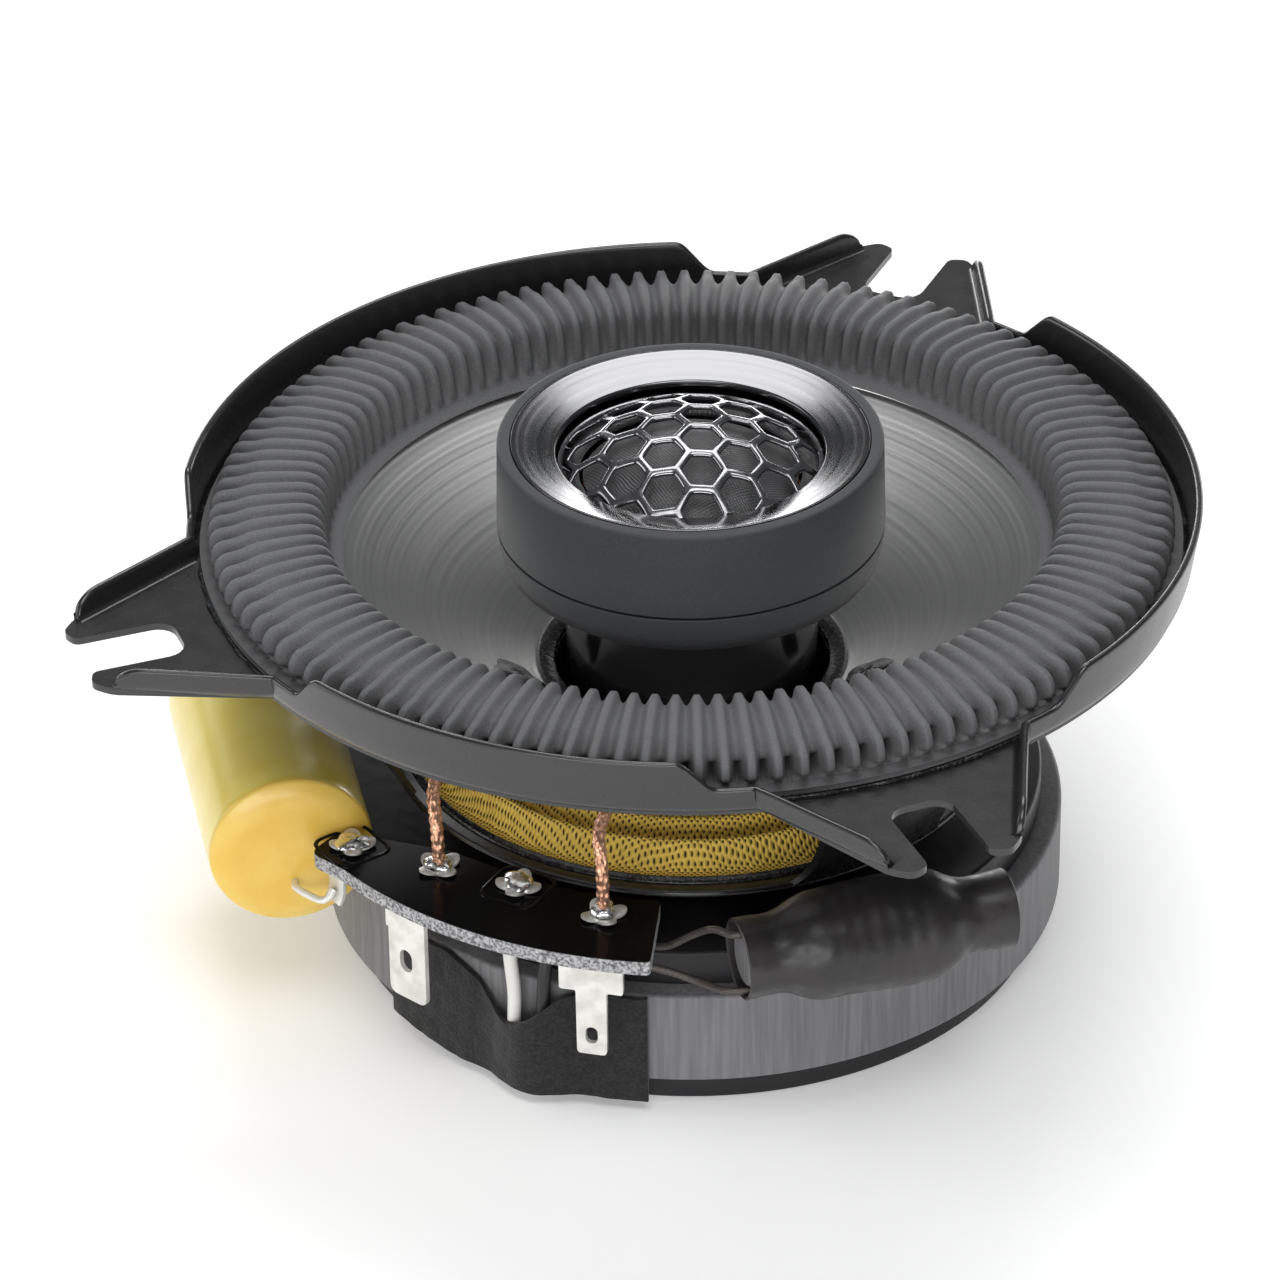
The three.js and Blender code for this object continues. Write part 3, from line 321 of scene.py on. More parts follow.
def dress(piece, body, slot, material, *nodes):
    """Gives a piece its material and the body it rides on, and hides the CAD nodes it stands for. slot is not
    used.
    """
    piece.data.materials.append(material)
    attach(piece, body)
    if nodes:
        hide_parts(*nodes)
    return piece


def stretch_between(piece, material, weight, node_name):
    """A soft ring or lead: gives it its material, bakes its placement into its points and hides the CAD node
    it stands for. weight is each point's share of the moving body's travel; it is eased into a share that
    nothing applies."""
    piece.data.materials.append(material)
    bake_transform(piece)
    share = np.clip(weight, 0, 1)
    share = share * share * (3 - 2 * share)
    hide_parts(node_name)
    return piece


def radii(piece):
    """Each point's distance from the speaker's axis, in millimetres."""
    flat = np.empty(len(piece.data.vertices) * 3, np.float32)
    piece.data.vertices.foreach_get("co", flat)
    return np.hypot(*flat.reshape(-1, 3)[:, :2].T) / mm


table_top = plate("table_top", [circle(3000, steps=64)], -6, -0.02)
table_paint = paint("pale_table", (0.93, 0.93, 0.93), 0.7)
shade = spots(table_paint, 40, 2)
mottle(table_paint, shade, (0.92, 0.92, 0.92), (0.94, 0.94, 0.94))
table_paint.node_tree.nodes["Principled BSDF"].inputs["Emission Color"].default_value = (1, 1, 1, 1)
table_paint.node_tree.nodes["Principled BSDF"].inputs["Emission Strength"].default_value = 0.25
table_top.data.materials.append(table_paint)

# ---- Basket ----
# One pressing of thin sheet steel in satin black: a flat flange with three forked ears, a rim wall that is
# turned up round it and runs on as a low lip along the ears, four legs, and the step that holds the spider.
sheet = 0.7
flange_r, flange_top, flange_low = 47.05, 41.1, 40.4
wall_top, lip_top, wall_flare = 46.5, 43.4, 0.9
ear_angles, ear_foot, ear_half, lip_reach, lip_half = (90, 223.7, 316.3), 46.0, 12.8, 58.4, 6.4
slot_half, slot_end, slot_corner, prong_reach = 3.0, 50.2, 1.9, 60.0
ramp_degrees, inner_bend_r, outer_bend_r, foot_wide = (20.9, 24.3), 0.5, 1.2, 2.2
leg_angles, leg_half, leg_top_r = (32, 148, 212, 328), 14.0, 39.35
landing_r, landing_top, landing_rise_r, step_r = 28.7, 20.35, 26.0, 24.8
base_inner, base_low = 16.8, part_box("top_plate")[1][2] / mm + 0.3

black_paint = paint(
    "satin_black_paint", (0.014, 0.014, 0.015), 0.27,
    patches=(2.5, 2, 0.25, 0.29), bumps=(0.22, 2, 0.0015), Specular_IOR_Level=0.75,
)


flange_hole_r, flange_edge_soft, corner_soft = 38.3, 0.16, 0.32


def turned_plan(points, degrees):
    """Plan points turned about the axis."""
    c, s = np.cos(np.radians(degrees)), np.sin(np.radians(degrees))
    return points @ np.array([[c, s], [-s, c]])


def ear_fork():
    """One ear from its left edge to its right edge, seen with the ear along +X: the side edge, the pointed
    prong, the slot with its rounded inner end, and the same mirrored."""
    corner = np.radians(np.linspace(0, 90, 6))
    inner = np.c_[
        slot_end + slot_corner * (1 - np.sin(corner)), slot_half - slot_corner * (1 - np.cos(corner)),
    ]
    tip = eased([
        (lip_reach - 2, lip_half + 1.1), (lip_reach + 0.2, lip_half - 0.1), (prong_reach, 4.7),
        (prong_reach - 0.6, slot_half), (lip_reach - 4, slot_half),
    ], 0.7, 6)[6:24]
    half = np.concatenate([tip, inner])
    return np.concatenate([half, half[::-1] * (1, -1)])


ear_base = np.degrees(np.arctan2(ear_half, ear_foot)) - 0.4
rim = []
for k, ear in enumerate(ear_angles):
    rim.append(turned_plan(ear_fork()[::-1], ear))
    following = ear_angles[(k + 1) % 3] + (360 if k == 2 else 0)
    rim.append(circle(flange_r - 0.3, steps=90, start=ear + ear_base, end=following - ear_base, full=False))
flange_outlines = [np.concatenate(rim), circle(flange_hole_r, steps=240)]
flange = plate("basket_flange", flange_outlines, flange_low, flange_top)
soften(flange, flange_edge_soft)
dress(flange, "frame", "basket_steel", black_paint, "basket")


def rim_wall(index):
    """The turned-up edge from one ear's tip, in along the ear, round the rim, and out along the next ear. Its
    height is the lip's, and rises to the wall's along the rim by straight ramps. Its foot curves into the
    flange."""
    ear, following = ear_angles[index], ear_angles[(index + 1) % 3] + (360 if index == 2 else 0)
    run = np.linspace(0, 1, 40)[:, None]
    foot, tip = np.array([[ear_foot - 0.4, ear_half]]), np.array([[lip_reach, lip_half]])
    out_edge = turned_plan(tip + (foot - tip) * run, ear)[:-3]
    in_edge = turned_plan((tip + (foot - tip) * run) * (1, -1), following)[::-1][3:]
    start, end = ear + ear_base + 0.9, following - ear_base - 0.9
    arc_steps = int((end - start) * 3)
    angle = np.linspace(start, end, arc_steps)
    round_rim = circle(flange_r, steps=arc_steps, start=start, end=end, full=False)
    path = np.concatenate([out_edge, round_rim, in_edge])
    beside = np.minimum(angle - ear, following - angle)
    wall = np.interp(beside, ramp_degrees, (lip_top, wall_top))
    wall = np.convolve(np.pad(wall, 2, mode="edge"), np.ones(5) / 5, "valid")
    top = np.concatenate([np.full(len(out_edge), lip_top), wall, np.full(len(in_edge), lip_top)])
    reach = np.linspace(0, 1, 9)
    nose = flange_low + 0.9 + (lip_top - flange_low - 0.9) * np.sqrt(1 - (1 - reach) ** 2)
    top[:9], top[-9:] = nose, nose[::-1]
    ahead_way = np.gradient(path, axis=0)
    ahead_way /= np.linalg.norm(ahead_way, axis=1, keepdims=True)
    outward = np.c_[ahead_way[:, 1], -ahead_way[:, 0]]
    # section: along the flange's top, up the inner face, over the edge, down the outer face, round the bend
    bend = np.radians(np.linspace(0, 90, 7))
    inner_bend = np.c_[
        -sheet - inner_bend_r + inner_bend_r * np.sin(bend),
        flange_top + 0.01 + inner_bend_r * (1 - np.cos(bend)),
    ]
    outer_bend = np.c_[
        -outer_bend_r + outer_bend_r * np.cos(bend), flange_low - 0.01 + outer_bend_r * (1 - np.sin(bend)),
    ]
    cap = np.radians(np.linspace(180, 0, 7))
    rows = []
    for out, z, follows_top in (
        [(-foot_wide, flange_top + 0.01, 0)] + [(*p, 0) for p in inner_bend]
        + [(-sheet, 0, share) for share in (0.35, 0.7, 0.93)]
        + [(-sheet / 2 + sheet / 2 * np.cos(a), sheet / 2 * np.sin(a) - sheet / 2, 1) for a in cap]
        + [(0, 0, share) for share in (0.93, 0.7, 0.35)]
        + [(*p, 0) for p in outer_bend] + [(-foot_wide, flange_low - 0.01, 0)]
    ):
        low = flange_top + 0.55
        height = np.full(len(path), z, float) if not follows_top else (
            top + z if follows_top == 1 else low + (top - sheet / 2 - low) * follows_top)
        flare = wall_flare * np.clip((height - flange_low) / (wall_top - flange_low), 0, 1) * (out > -1.5)
        plan = path + outward * (out + flare)[:, None]
        rows.append(np.c_[plan, height])
    return capped("rim_wall_%d" % (index + 1), np.stack(rows, 1), sharp=50)


for k in range(3):
    dress(rim_wall(k), "frame", "basket_steel", black_paint)

landing_edge_r = landing_r + 0.75
landing = eased([
    (base_inner, base_low), (step_r, base_low), (landing_rise_r, landing_top - sheet),
    (landing_edge_r, landing_top - sheet), (landing_edge_r, landing_top),
    (landing_rise_r - sheet / 2, landing_top), (step_r - sheet / 2, base_low + sheet),
    (base_inner, base_low + sheet),
], corner_soft)
dress(spun("spider_landing", landing), "frame", "basket_steel", black_paint)


def leg(index):
    """A bent strip from the landing to the flange. Its half angle widens towards both ends, so that the
    windows beside it have round corners, and a shallow pressed channel stiffens its middle."""
    v = np.linspace(0, 1, 40)[:, None]
    widen = 4.0 * np.exp(-v / 0.06) + 3.5 * np.exp(-(1 - v) / 0.06)
    half = leg_half + widen
    u = np.linspace(-1, 1, 33)[None, :]
    edge = sheet / 2 * np.sqrt(np.clip(1 - (np.clip(np.abs(u) - 0.96, 0, 1) / 0.04) ** 2, 0, 1))
    channel = -0.7 * np.exp(-(u / 0.38) ** 4) * np.exp(-((v - 0.5) / 0.36) ** 4)
    centre_r = landing_r + 0.35 + (leg_top_r - landing_r - 0.35) * v + 0.5 * np.sin(np.pi * v)
    centre_z = landing_top - 0.3 + (flange_low + 0.3 - landing_top + 0.3) * v
    angle = np.radians(leg_angles[index] + half * u)
    # the strip leans outwards, so its thickness lies mostly along the radius and a little along the height
    front, back = (
        polar(centre_r + channel + way * edge * 0.9, angle, centre_z - way * edge * 0.45) for way in (1, -1)
    )
    return capped("basket_leg_%d" % (index + 1), np.concatenate([front, back[:, ::-1]], 1))


for k in range(4):
    dress(leg(k), "frame", "basket_steel", black_paint)

# ---- Motor ----
# A ring of sintered ferrite between two steel plates, glued in a stack. The rear plate and the pole are one
# forging with a groove for the tweeter's wires, and a plain foil label covers the middle of the rear.
def band(node_name):
    """The outer radius and the two heights of a round node."""
    low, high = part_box(node_name)
    return high[0] / mm, low[2] / mm, high[2] / mm


ferrite = paint("sintered_ferrite", (0.17, 0.17, 0.175), 0.5, Specular_IOR_Level=0.4)
streaks = spots(ferrite, 0.5, 4, stretch=(1, 1, 0.05))
mottle(ferrite, streaks, (0.14, 0.14, 0.146), (0.2, 0.2, 0.206))
grain(ferrite, streaks, 0.02)
magnet_r, magnet_low, magnet_high = band("magnet_ring")
magnet_hole_r, glue_gap = 17, 0.3
magnet_outline = tube(magnet_hole_r, magnet_r, magnet_low - glue_gap, magnet_high + glue_gap, 0.45)
dress(spun("magnet", magnet_outline), "frame", "ferrite", ferrite, "magnet_ring")

plate_black = paint(
    "black_zinc", (0.02, 0.02, 0.022), 0.38,
    patches=(1.5, 4, 0.3, 0.48), bumps=(0.3, 3, 0.008), Metallic=0.4,
)
top_r, top_low, top_high = band("top_plate")
top_hole_r = 14.7
front_plate = spun("front_plate", tube(top_hole_r, top_r, top_low, top_high, 0.35))
dress(front_plate, "frame", "black_steel", plate_black, "top_plate")
back_r, back_low, pole_high = band("pole_yoke")
back_high, pole_r, wire_hole_r = 3.3, 12.4, 2.5
groove_half, groove_top, recess_r, recess_high = 2.2, 2.7, 30.3, 0.6


def rear_plate():
    """The rear plate and pole as a turned shape whose underside is lifted to the groove's depth where the
    groove runs out to the front edge."""
    outline = eased([
        (wire_hole_r, recess_high), (recess_r, recess_high), (recess_r, back_low), (back_r, back_low),
        (back_r, back_high), (pole_r, back_high), (pole_r, pole_high), (wire_hole_r, pole_high),
    ], 0.3)
    # extra rings across the underside let the groove's walls stand straight
    under = np.c_[np.linspace(2.8, recess_r - 0.4, 24), np.full(24, recess_high)]
    cut = np.argmax(outline[:, 0] > 3)
    outline = np.concatenate([outline[:cut], under, outline[cut:]])
    beside = np.concatenate([
        np.linspace(-180, -14, 120), np.linspace(-13.9, 13.9, 240), np.linspace(14, 179, 120),
    ])
    angle = np.radians(270 + beside)[:, None]
    r, z = outline[None, :, 0], outline[None, :, 1] + 0 * angle
    x, y = r * np.cos(angle), r * np.sin(angle)
    in_groove = (np.abs(x) < groove_half) & (y < 0) & (z < groove_top - 0.2)
    return skin("rear_plate_and_pole", np.stack([x, y, np.where(in_groove, groove_top, z)], -1))


dress(rear_plate(), "frame", "black_steel", plate_black, "pole_yoke")
foil = paint(
    "label_foil", (0.5, 0.5, 0.51), 0.42, patches=(3, 4, 0.36, 0.5), bumps=(1.6, 3, 0.012), Metallic=0.7,
)
label_outline = tube(0.01, 30, 0, 0.3, 0.08)
dress(spun("rear_foil_label", label_outline), "frame", "label_foil", foil, "rear_label")

# ---- Surround ----
# Moulded rubber: a flat flange glued into the basket, a high roll pressed into radial pleats, and an inner
# band glued over the edge of the cone. The pleats stand out on top and are hollow on the outer wall.
pleats = 120
# across one pleat: the share of its width, and the height from the hollow at -1 to the ridge's two edges at 1
pleat = np.array([
    (0.0, 0.95), (0.1, 1.0), (0.17, 0.8), (0.26, 0.1), (0.36, -0.6), (0.46, -1.0), (0.54, -1.0), (0.64, -0.6),
    (0.74, 0.1), (0.83, 0.8), (0.9, 1.0),
])
roll_line = np.array([
    # radius, height, and how far the pleats stand out of the roll there
    (46.2, 42.1, 0), (45.6, 42.12, 0), (45.0, 42.12, 0), (44.55, 42.17, 0.35), (44.3, 42.5, 0.95),
    (44.25, 43.1, 1.15), (44.15, 43.8, 1.15), (43.95, 44.3, 0.95), (43.4, 44.65, 0.6),
    (42.6, 44.95, 0.44), (41.5, 45.4, 0.36), (40.0, 45.6, 0.36),
    (38.2, 45.7, 0.38), (36.8, 45.7, 0.42), (35.8, 45.45, 0.5), (35.2, 44.85, 0.55), (34.85, 44.0, 0.52),
    (34.55, 43.0, 0.42), (34.3, 42.0, 0.3), (34.1, 41.35, 0.08), (33.75, 41.0, 0), (33.2, 40.75, 0),
    (32.8, 40.5, 0),
])
rubber_thick, held_r, moving_r = 0.55, 45.0, 34.2
line = along(roll_line, 48)
way = np.gradient(line[:, :2], axis=0)
way /= np.linalg.norm(way, axis=1, keepdims=True)
out_of_roll = np.c_[way[:, 1], -way[:, 0]]
turn = 2 * np.pi * (np.arange(pleats)[:, None] + pleat[None, :, 0]).reshape(-1, 1) / pleats
wave = np.tile(pleat[:, 1], pleats)[:, None]
rise = wave * line[None, :, 2]
upper = line[None, :, :2] + out_of_roll[None] * rise[..., None]
under_line = line[::3]
under = under_line[None, :, :2] + out_of_roll[None, ::3] * (rise[:, ::3] - rubber_thick)[..., None]
section = np.concatenate([upper, under[:, ::-1]], 1)
surround = skin("pleated_surround", polar(section[..., 0], turn, section[..., 1]), sharp=75)
rubber = paint("moulded_rubber", (0.066, 0.067, 0.07), 0.6, Specular_IOR_Level=0.35)
fine = spots(rubber, 0.16, 3)
polish(rubber, fine, 0.52, 0.74)
grain(rubber, fine, 0.02)
# painted shade: the hollows between the pleats are darkened towards near black by how deep each point lies,
# and the flat flange at the foot of the rim wall by a fixed share
shade_depth = np.maximum(-rise, 0.62 * (line[None, :, 0] > 44.7))
hollow_shade = surround.data.attributes.new("hollow_shade", "FLOAT", "POINT")
hollow_shade.data.foreach_set("value", np.concatenate([shade_depth, 0 * rise[:, ::3]], 1).astype(np.float32).ravel())
shade_depth_here = node(rubber, "Attribute", attribute_name="hollow_shade").outputs["Fac"]
rubber_tone = between(rubber, fine, (0.06, 0.061, 0.064), (0.19, 0.191, 0.195))
painted_shade_share = ranged(rubber, shade_depth_here, 0.25, 1.1)
# the base colour fades from the rubber's tone into the painted shade of the hollows and the flange
into(rubber, "Base Color", between(rubber, painted_shade_share, rubber_tone, (0.012, 0.012, 0.013)))
stretch_between(
    surround, rubber,
    (held_r - radii(surround)) / (held_r - moving_r), "surround",
)

# The glue that holds the rubber flange shows as an uneven bead between its edge and the steel.
bead_turn = np.linspace(0, 2 * np.pi, 720, endpoint=False)[:, None]
uneven = 0.05 * np.sin(17 * bead_turn) + 0.06 * np.sin(41 * bead_turn + 1) + 0.04 * np.sin(97 * bead_turn + 2)
round_bead = np.linspace(0, 2 * np.pi, 10, endpoint=False)[None, :]
bead_r = 46.2 + uneven + (0.22 + 0.5 * uneven) * np.cos(round_bead)
bead_z = 41.25 + 0.3 * uneven + (0.2 + 0.4 * uneven) * np.sin(round_bead)
glue_bead = skin("flange_glue_bead", polar(bead_r, bead_turn, bead_z))
glue = paint("dried_glue", (0.02, 0.02, 0.021), 0.2)
grain(glue, spots(glue, 0.5, 4), 0.05)
mottle(glue, spots(glue, 0.35, 3), (0.012, 0.012, 0.013), (0.05, 0.05, 0.052), 0.5, 0.62)
dress(glue_bead, "frame", "rubber", glue)

# ---- Cone and voice coil ----
# Spun aluminium, anodised titanium grey, with fine turning lines. It is glued at its neck to the former of
# the voice coil, where four dabs of black glue hold the ends of the leads.
cone_line = along([(13.6, 27.4), (16.5, 28.9), (22, 32.3), (28, 36.25), (33.6, 39.9)], 40)
cone_under = cone_line[::2] + (0.1, -0.4)
neck = np.array([(13.95, 26.2), (13.6, 26.2)])
cone = spun("spun_cone", np.concatenate([cone_line, cone_under[::-1], neck]), turns=300)
spun_metal = paint("spun_titanium_grey", (0.7, 0.7, 0.69), 0.3, Metallic=1.0, Anisotropic=0.75)


def figure(made, operation, *values):
    """One step of arithmetic on values or on other nodes' outputs."""
    return node(made, "Math", dict(enumerate(values)), operation=operation).outputs["Value"]


def ring_lines(made, spacing, spread=(1, 1, 0)):
    """Fine rings round the axis: a wave of the distance from it, every spacing millimetres, made uneven by
    noise. The second result is the noise alone."""
    place = node(made, "TexCoord").outputs["Object"]
    flat = node(made, "VectorMath", {0: place, 1: spread}, operation="MULTIPLY").outputs["Vector"]
    out = node(made, "VectorMath", {0: flat}, operation="LENGTH").outputs["Value"]
    ring = figure(made, "SINE", figure(made, "MULTIPLY", out, 2 * np.pi / (spacing * mm)))
    count = figure(made, "MULTIPLY", out, 1 / (spacing * mm))
    noise = node(made, "TexNoise", {"W": count, "Scale": 0.35, "Detail": 5}, noise_dimensions="1D")
    return figure(made, "MULTIPLY", ring, noise.outputs["Fac"]), noise.outputs["Fac"]


rings, ring_noise = ring_lines(spun_metal, 0.16)
round_axis = node(spun_metal, "Tangent", direction_type="RADIAL", axis="Z")
into(spun_metal, "Tangent", round_axis.outputs["Tangent"])
grain(spun_metal, rings, 0.0001)
polish(spun_metal, ring_noise, 0.3, 0.38)
mottle(spun_metal, ring_noise, (0.72, 0.72, 0.71), (0.8, 0.8, 0.79), 0.3, 0.7)
dress(cone, "cone_assembly", "cone_metal", spun_metal, "cone")


def glue_dab(index):
    """A low uneven dome of glue on the cone beside the neck, longer along the lead than across it."""
    angle = (224, 2)[index]
    across = np.linspace(0, 2 * np.pi, 28, endpoint=False)[:, None]
    out = np.linspace(0, 1, 9)[None, :]
    lumpy = 1 + 0.12 * np.sin(3 * across + index) + 0.08 * np.sin(5 * across + 2 * index)
    x = 17.6 + 2.4 * out * lumpy * np.cos(across)
    y = 2.6 * out * lumpy * np.sin(across)
    floor_z = np.interp(x, cone_line[:, 0], cone_line[:, 1])
    z = floor_z + 0.4 * (1 - out ** 2) + 0.06 * np.sin(5 * across + 9 * out) * (1 - out) - 0.02
    top = np.stack([x, y + 0 * out, z], -1)
    under_side = np.stack([x, y + 0 * out, floor_z - 0.25 + 0 * out], -1)[:, ::-1]
    grid = np.concatenate([top, under_side], 1)
    plan = turned_plan(grid[..., :2].reshape(-1, 2), angle).reshape(*grid.shape[:2], 2)
    return skin("lead_glue_dab_%d" % (index + 1), np.concatenate([plan, grid[..., 2:]], -1))


for k in range(2):
    dress(glue_dab(k), "cone_assembly", "cone_metal", glue)

neck_glue = eased([(13.02, 27.2), (14.9, 27.75), (14.7, 28.25), (13.9, 28.2), (13.02, 27.85)], 0.3)
dress(spun("neck_glue", neck_glue), "cone_assembly", "cone_metal", glue)

former_r, former_low, former_high = band("voice_coil_former")
anodised = paint("former_foil", (0.55, 0.55, 0.56), 0.3, Metallic=1.0)
former_rings, former_noise = ring_lines(anodised, 0.2, (0, 0, 1))
grain(anodised, former_rings, 0.004)
polish(anodised, former_noise, 0.22, 0.36)
former_outline = tube(former_r - 0.3, former_r, former_low, former_high, 0.1)
dress(spun("coil_former", former_outline), "cone_assembly", "bare_aluminium", anodised, "voice_coil_former")


def wound_layer(name, inner_r, outer_r, low, high, wire_wide):
    """A coil of one layer, its outer face rippled by the turns of wire, each wire_wide millimetres."""
    z = np.linspace(low, high, int((high - low) / wire_wide * 8) + 1)
    ripple = wire_wide / 2 * (np.abs(np.sin(np.pi * (z - low) / wire_wide)) - 1)
    return spun(name, np.concatenate([np.c_[outer_r + ripple, z], [(inner_r, high), (inner_r, low)]]), 120)


enamel = paint(
    "enamelled_copper", (0.5, 0.2, 0.07), 0.3,
    patches=(0.8, 3, 0.24, 0.4), bumps=(0.1, 2, 0.004), Metallic=0.9,
)
coil_r, coil_low, coil_high = band("voice_coil_winding")
dress(
    wound_layer("voice_coil", coil_r - 0.6, coil_r, coil_low, coil_high, 0.32),
    "cone_assembly", "copper", enamel, "voice_coil_winding",
)

# ---- Spider ----
# Woven cotton dipped in resin and pressed hot into rings. Its foot is glued to the landing with a dark line
# of glue, and its inner collar to the former. The weave is square, and open enough to show dark holes.
foot_r, collar_r, wave_pitch, wave_high = 27.6, 13.6, 3.6, 1.0
still_r, riding_r = 26.6, 15
spider_r = np.linspace(foot_r, collar_r, 110)
fade = np.clip((foot_r - 0.7 - spider_r) / 1.4, 0, 1) * np.clip((spider_r - collar_r - 0.3) / 1.2, 0, 1)
fade = fade * fade * (3 - 2 * fade)
waves = wave_high * np.cos(2 * np.pi * (foot_r - 2.35 - spider_r) / wave_pitch)
spider_z = landing_top + 0.42 + fade * (1.6 + waves)
cloth_thick = 0.34
spider_line = np.concatenate([np.c_[spider_r, spider_z], np.c_[spider_r, spider_z - cloth_thick][::-1]])
spider = spun("spider_cloth", spider_line, turns=300, sharp=60)
resin_cloth = paint("resin_dipped_cotton", (0.8, 0.58, 0.14), 0.75, Specular_IOR_Level=0.25)


def woven(made, pitch, turn_degrees):
    """A plain weave over X and Y: the product of two waves a thread apart is high over the threads' crossings
    and low in the holes between them, which are staggered from row to row."""
    place = node(made, "TexCoord").outputs["Object"]
    laid = node(made, "Mapping", {
        "Vector": place, "Rotation": (0, 0, np.radians(-turn_degrees)), "Scale": (1 / mm,) * 3,
    }).outputs["Vector"]
    jitter = node(made, "TexNoise", {"Vector": laid, "Scale": 0.6, "Detail": 2}).outputs["Color"]
    shifted = node(made, "VectorMath", {0: jitter, 1: (0.35, 0.35, 0), 2: laid}, operation="MULTIPLY_ADD")
    apart = node(made, "SeparateXYZ", {"Vector": shifted.outputs["Vector"]})
    phases = [figure(made, "MULTIPLY", apart.outputs[axis], np.pi / pitch) for axis in ("X", "Y")]
    return figure(made, "MULTIPLY", *[figure(made, "COSINE", phase) for phase in phases])


crossings = woven(resin_cloth, 0.29, 23.4)
thread_tone = between(resin_cloth, spots(resin_cloth, 0.3, 4), (0.72, 0.45, 0.055), (0.95, 0.7, 0.16))
on_thread = ranged(resin_cloth, crossings, -0.8, -0.2)
into(resin_cloth, "Base Color", between(resin_cloth, on_thread, (0.035, 0.02, 0.006), thread_tone))
grain(resin_cloth, crossings, 0.12)
stretch_between(
    spider, resin_cloth,
    (still_r - radii(spider)) / (still_r - riding_r), "spider",
)
glue_line = eased([(27.3, 20.36), (28.2, 20.36), (28.05, 20.62), (27.5, 20.9)], 0.2)
dress(spun("spider_glue_line", glue_line), "frame", "spider_cloth", glue)

# ---- Tinsel leads ----
# Two braided copper leads run from the glue behind the cone, in an easy curve in front of the spider, down
# into the barrels of the two tabs. Eight strands cross over each other all along.
tinsel_routes = {
    "tinsel_lead_left": ((35, 251, 20.9), (35, 251, 23.6), (34.6, 250, 26), (33, 247, 28), (28, 240, 28.6),
                         (19.6, 236, 29.3)),
    "tinsel_lead_right": ((34.9, 279.6, 20.9), (34.9, 279.6, 23.6), (34.7, 279.4, 26.5), (33.2, 278.5, 29.2),
                          (28, 279, 29.8), (19.8, 282, 29.3)),
}
tinsel_r, tinsel_still_r, tinsel_riding_r = 0.62, 33.5, 21
braid = paint("braided_copper", (0.78, 0.42, 0.27), 0.33, Metallic=0.85)
mottle(braid, spots(braid, 0.25, 3), (0.6, 0.28, 0.16), (0.9, 0.55, 0.38))
grain(braid, spots(braid, 0.08, 2), 0.01)


def polar_points(route):
    """Radius, angle and height given as plain coordinates."""
    r, a, z = np.array(route, float).T
    return np.c_[r * np.cos(np.radians(a)), r * np.sin(np.radians(a)), z]


def braided(name, route):
    """A round lead whose skin rises where a strand lies on top: two sets of helices, four strands each way,
    take turns to be uppermost."""
    path = along(polar_points(route), 300)
    length = np.concatenate([[0], np.cumsum(np.linalg.norm(np.diff(path, axis=0), axis=1))])[:, None]
    a = np.linspace(0, 2 * np.pi, 32, endpoint=False)[None, :]
    one, other = 5 * a + 3.6 * length, 5 * a - 3.6 * length
    lift = np.maximum(np.cos(one) * (0.6 + 0.4 * np.sin(other)), np.cos(other) * (0.6 - 0.4 * np.sin(one)))
    radius = tinsel_r * (0.86 + 0.2 * lift)
    bottom = route[0][1]
    side = (-np.sin(np.radians(bottom)), np.cos(np.radians(bottom)), 0)
    return swept(name, path, np.stack([radius * np.cos(a), radius * np.sin(a)], -1), side)


for name, route in tinsel_routes.items():
    lead = braided(name + "_braid", route)
    stretch_between(
        lead, braid,
        (tinsel_still_r - radii(lead)) / (tinsel_still_r - tinsel_riding_r), name,
    )

# ---- Tweeter post and pod ----
# A glossy moulded post stands on the pole and carries the pod. The pod is two mouldings in fine-grained dark
# plastic that meet at a thin seam, and its rim is a narrow flat edge.
gloss = paint(
    "gloss_black_moulding", (0.006, 0.006, 0.007), 0.16,
    patches=(4, 3, 0.12, 0.22), bumps=(2.2, 2, 0.006),
)
post_r, post_low, post_high = band("tweeter_post")
post_bore = 2.5
post_outline = eased([
    (post_bore, post_low), (post_r, post_low), (post_r, post_high - 1.6), (post_r + 0.9, post_high),
    (post_bore, post_high),
], 0.7)
dress(spun("tweeter_stand", post_outline), "frame", "black_plastic", gloss, "tweeter_post")

pod_grain = paint("fine_grained_plastic", (0.047, 0.048, 0.052), 0.55, Specular_IOR_Level=0.4)
pod_noise = spots(pod_grain, 0.14, 3)
mottle(pod_grain, pod_noise, (0.03, 0.031, 0.034), (0.054, 0.056, 0.06), 0.3, 0.7)
polish(pod_grain, pod_noise, 0.46, 0.66)
grain(pod_grain, pod_noise, 0.014)
pod_r, pod_low, seam_low = band("tweeter_pod_base")
_, seam_high, rim_high = band("tweeter_pod_sleeve")
pod_inner, sleeve_rim_r, sleeve_mouth_r, ledge_r = 16.1, 18.1, 16.9, 15.2
base_outline = eased([
    (2.5, pod_low), (pod_r - 2.3, pod_low), (pod_r - 0.45, pod_low + 1.5), (pod_r, seam_low + 0.05),
    (pod_inner, seam_low + 0.05), (pod_inner, pod_low + 1), (2.5, pod_low + 1),
], np.array([0.3, 1.6, 1.6, 0.12, 0.12, 0.3, 0.3]), 8)
dress(spun("pod_base", base_outline), "frame", "pod_plastic", pod_grain, "tweeter_pod_base")
ledge = 49.9
sleeve_outline = eased([
    (pod_inner, seam_high - 0.02), (pod_r, seam_high - 0.02), (sleeve_rim_r, rim_high),
    (sleeve_mouth_r, rim_high), (sleeve_mouth_r, ledge), (ledge_r, ledge), (ledge_r, ledge - 1),
    (pod_inner, ledge - 1.6),
], np.array([0.12, 0.12, 0.35, 0.12, 0.12, 0.12, 0.12, 0.12]), 7)
dress(spun("pod_sleeve", sleeve_outline), "frame", "pod_plastic", pod_grain, "tweeter_pod_sleeve")

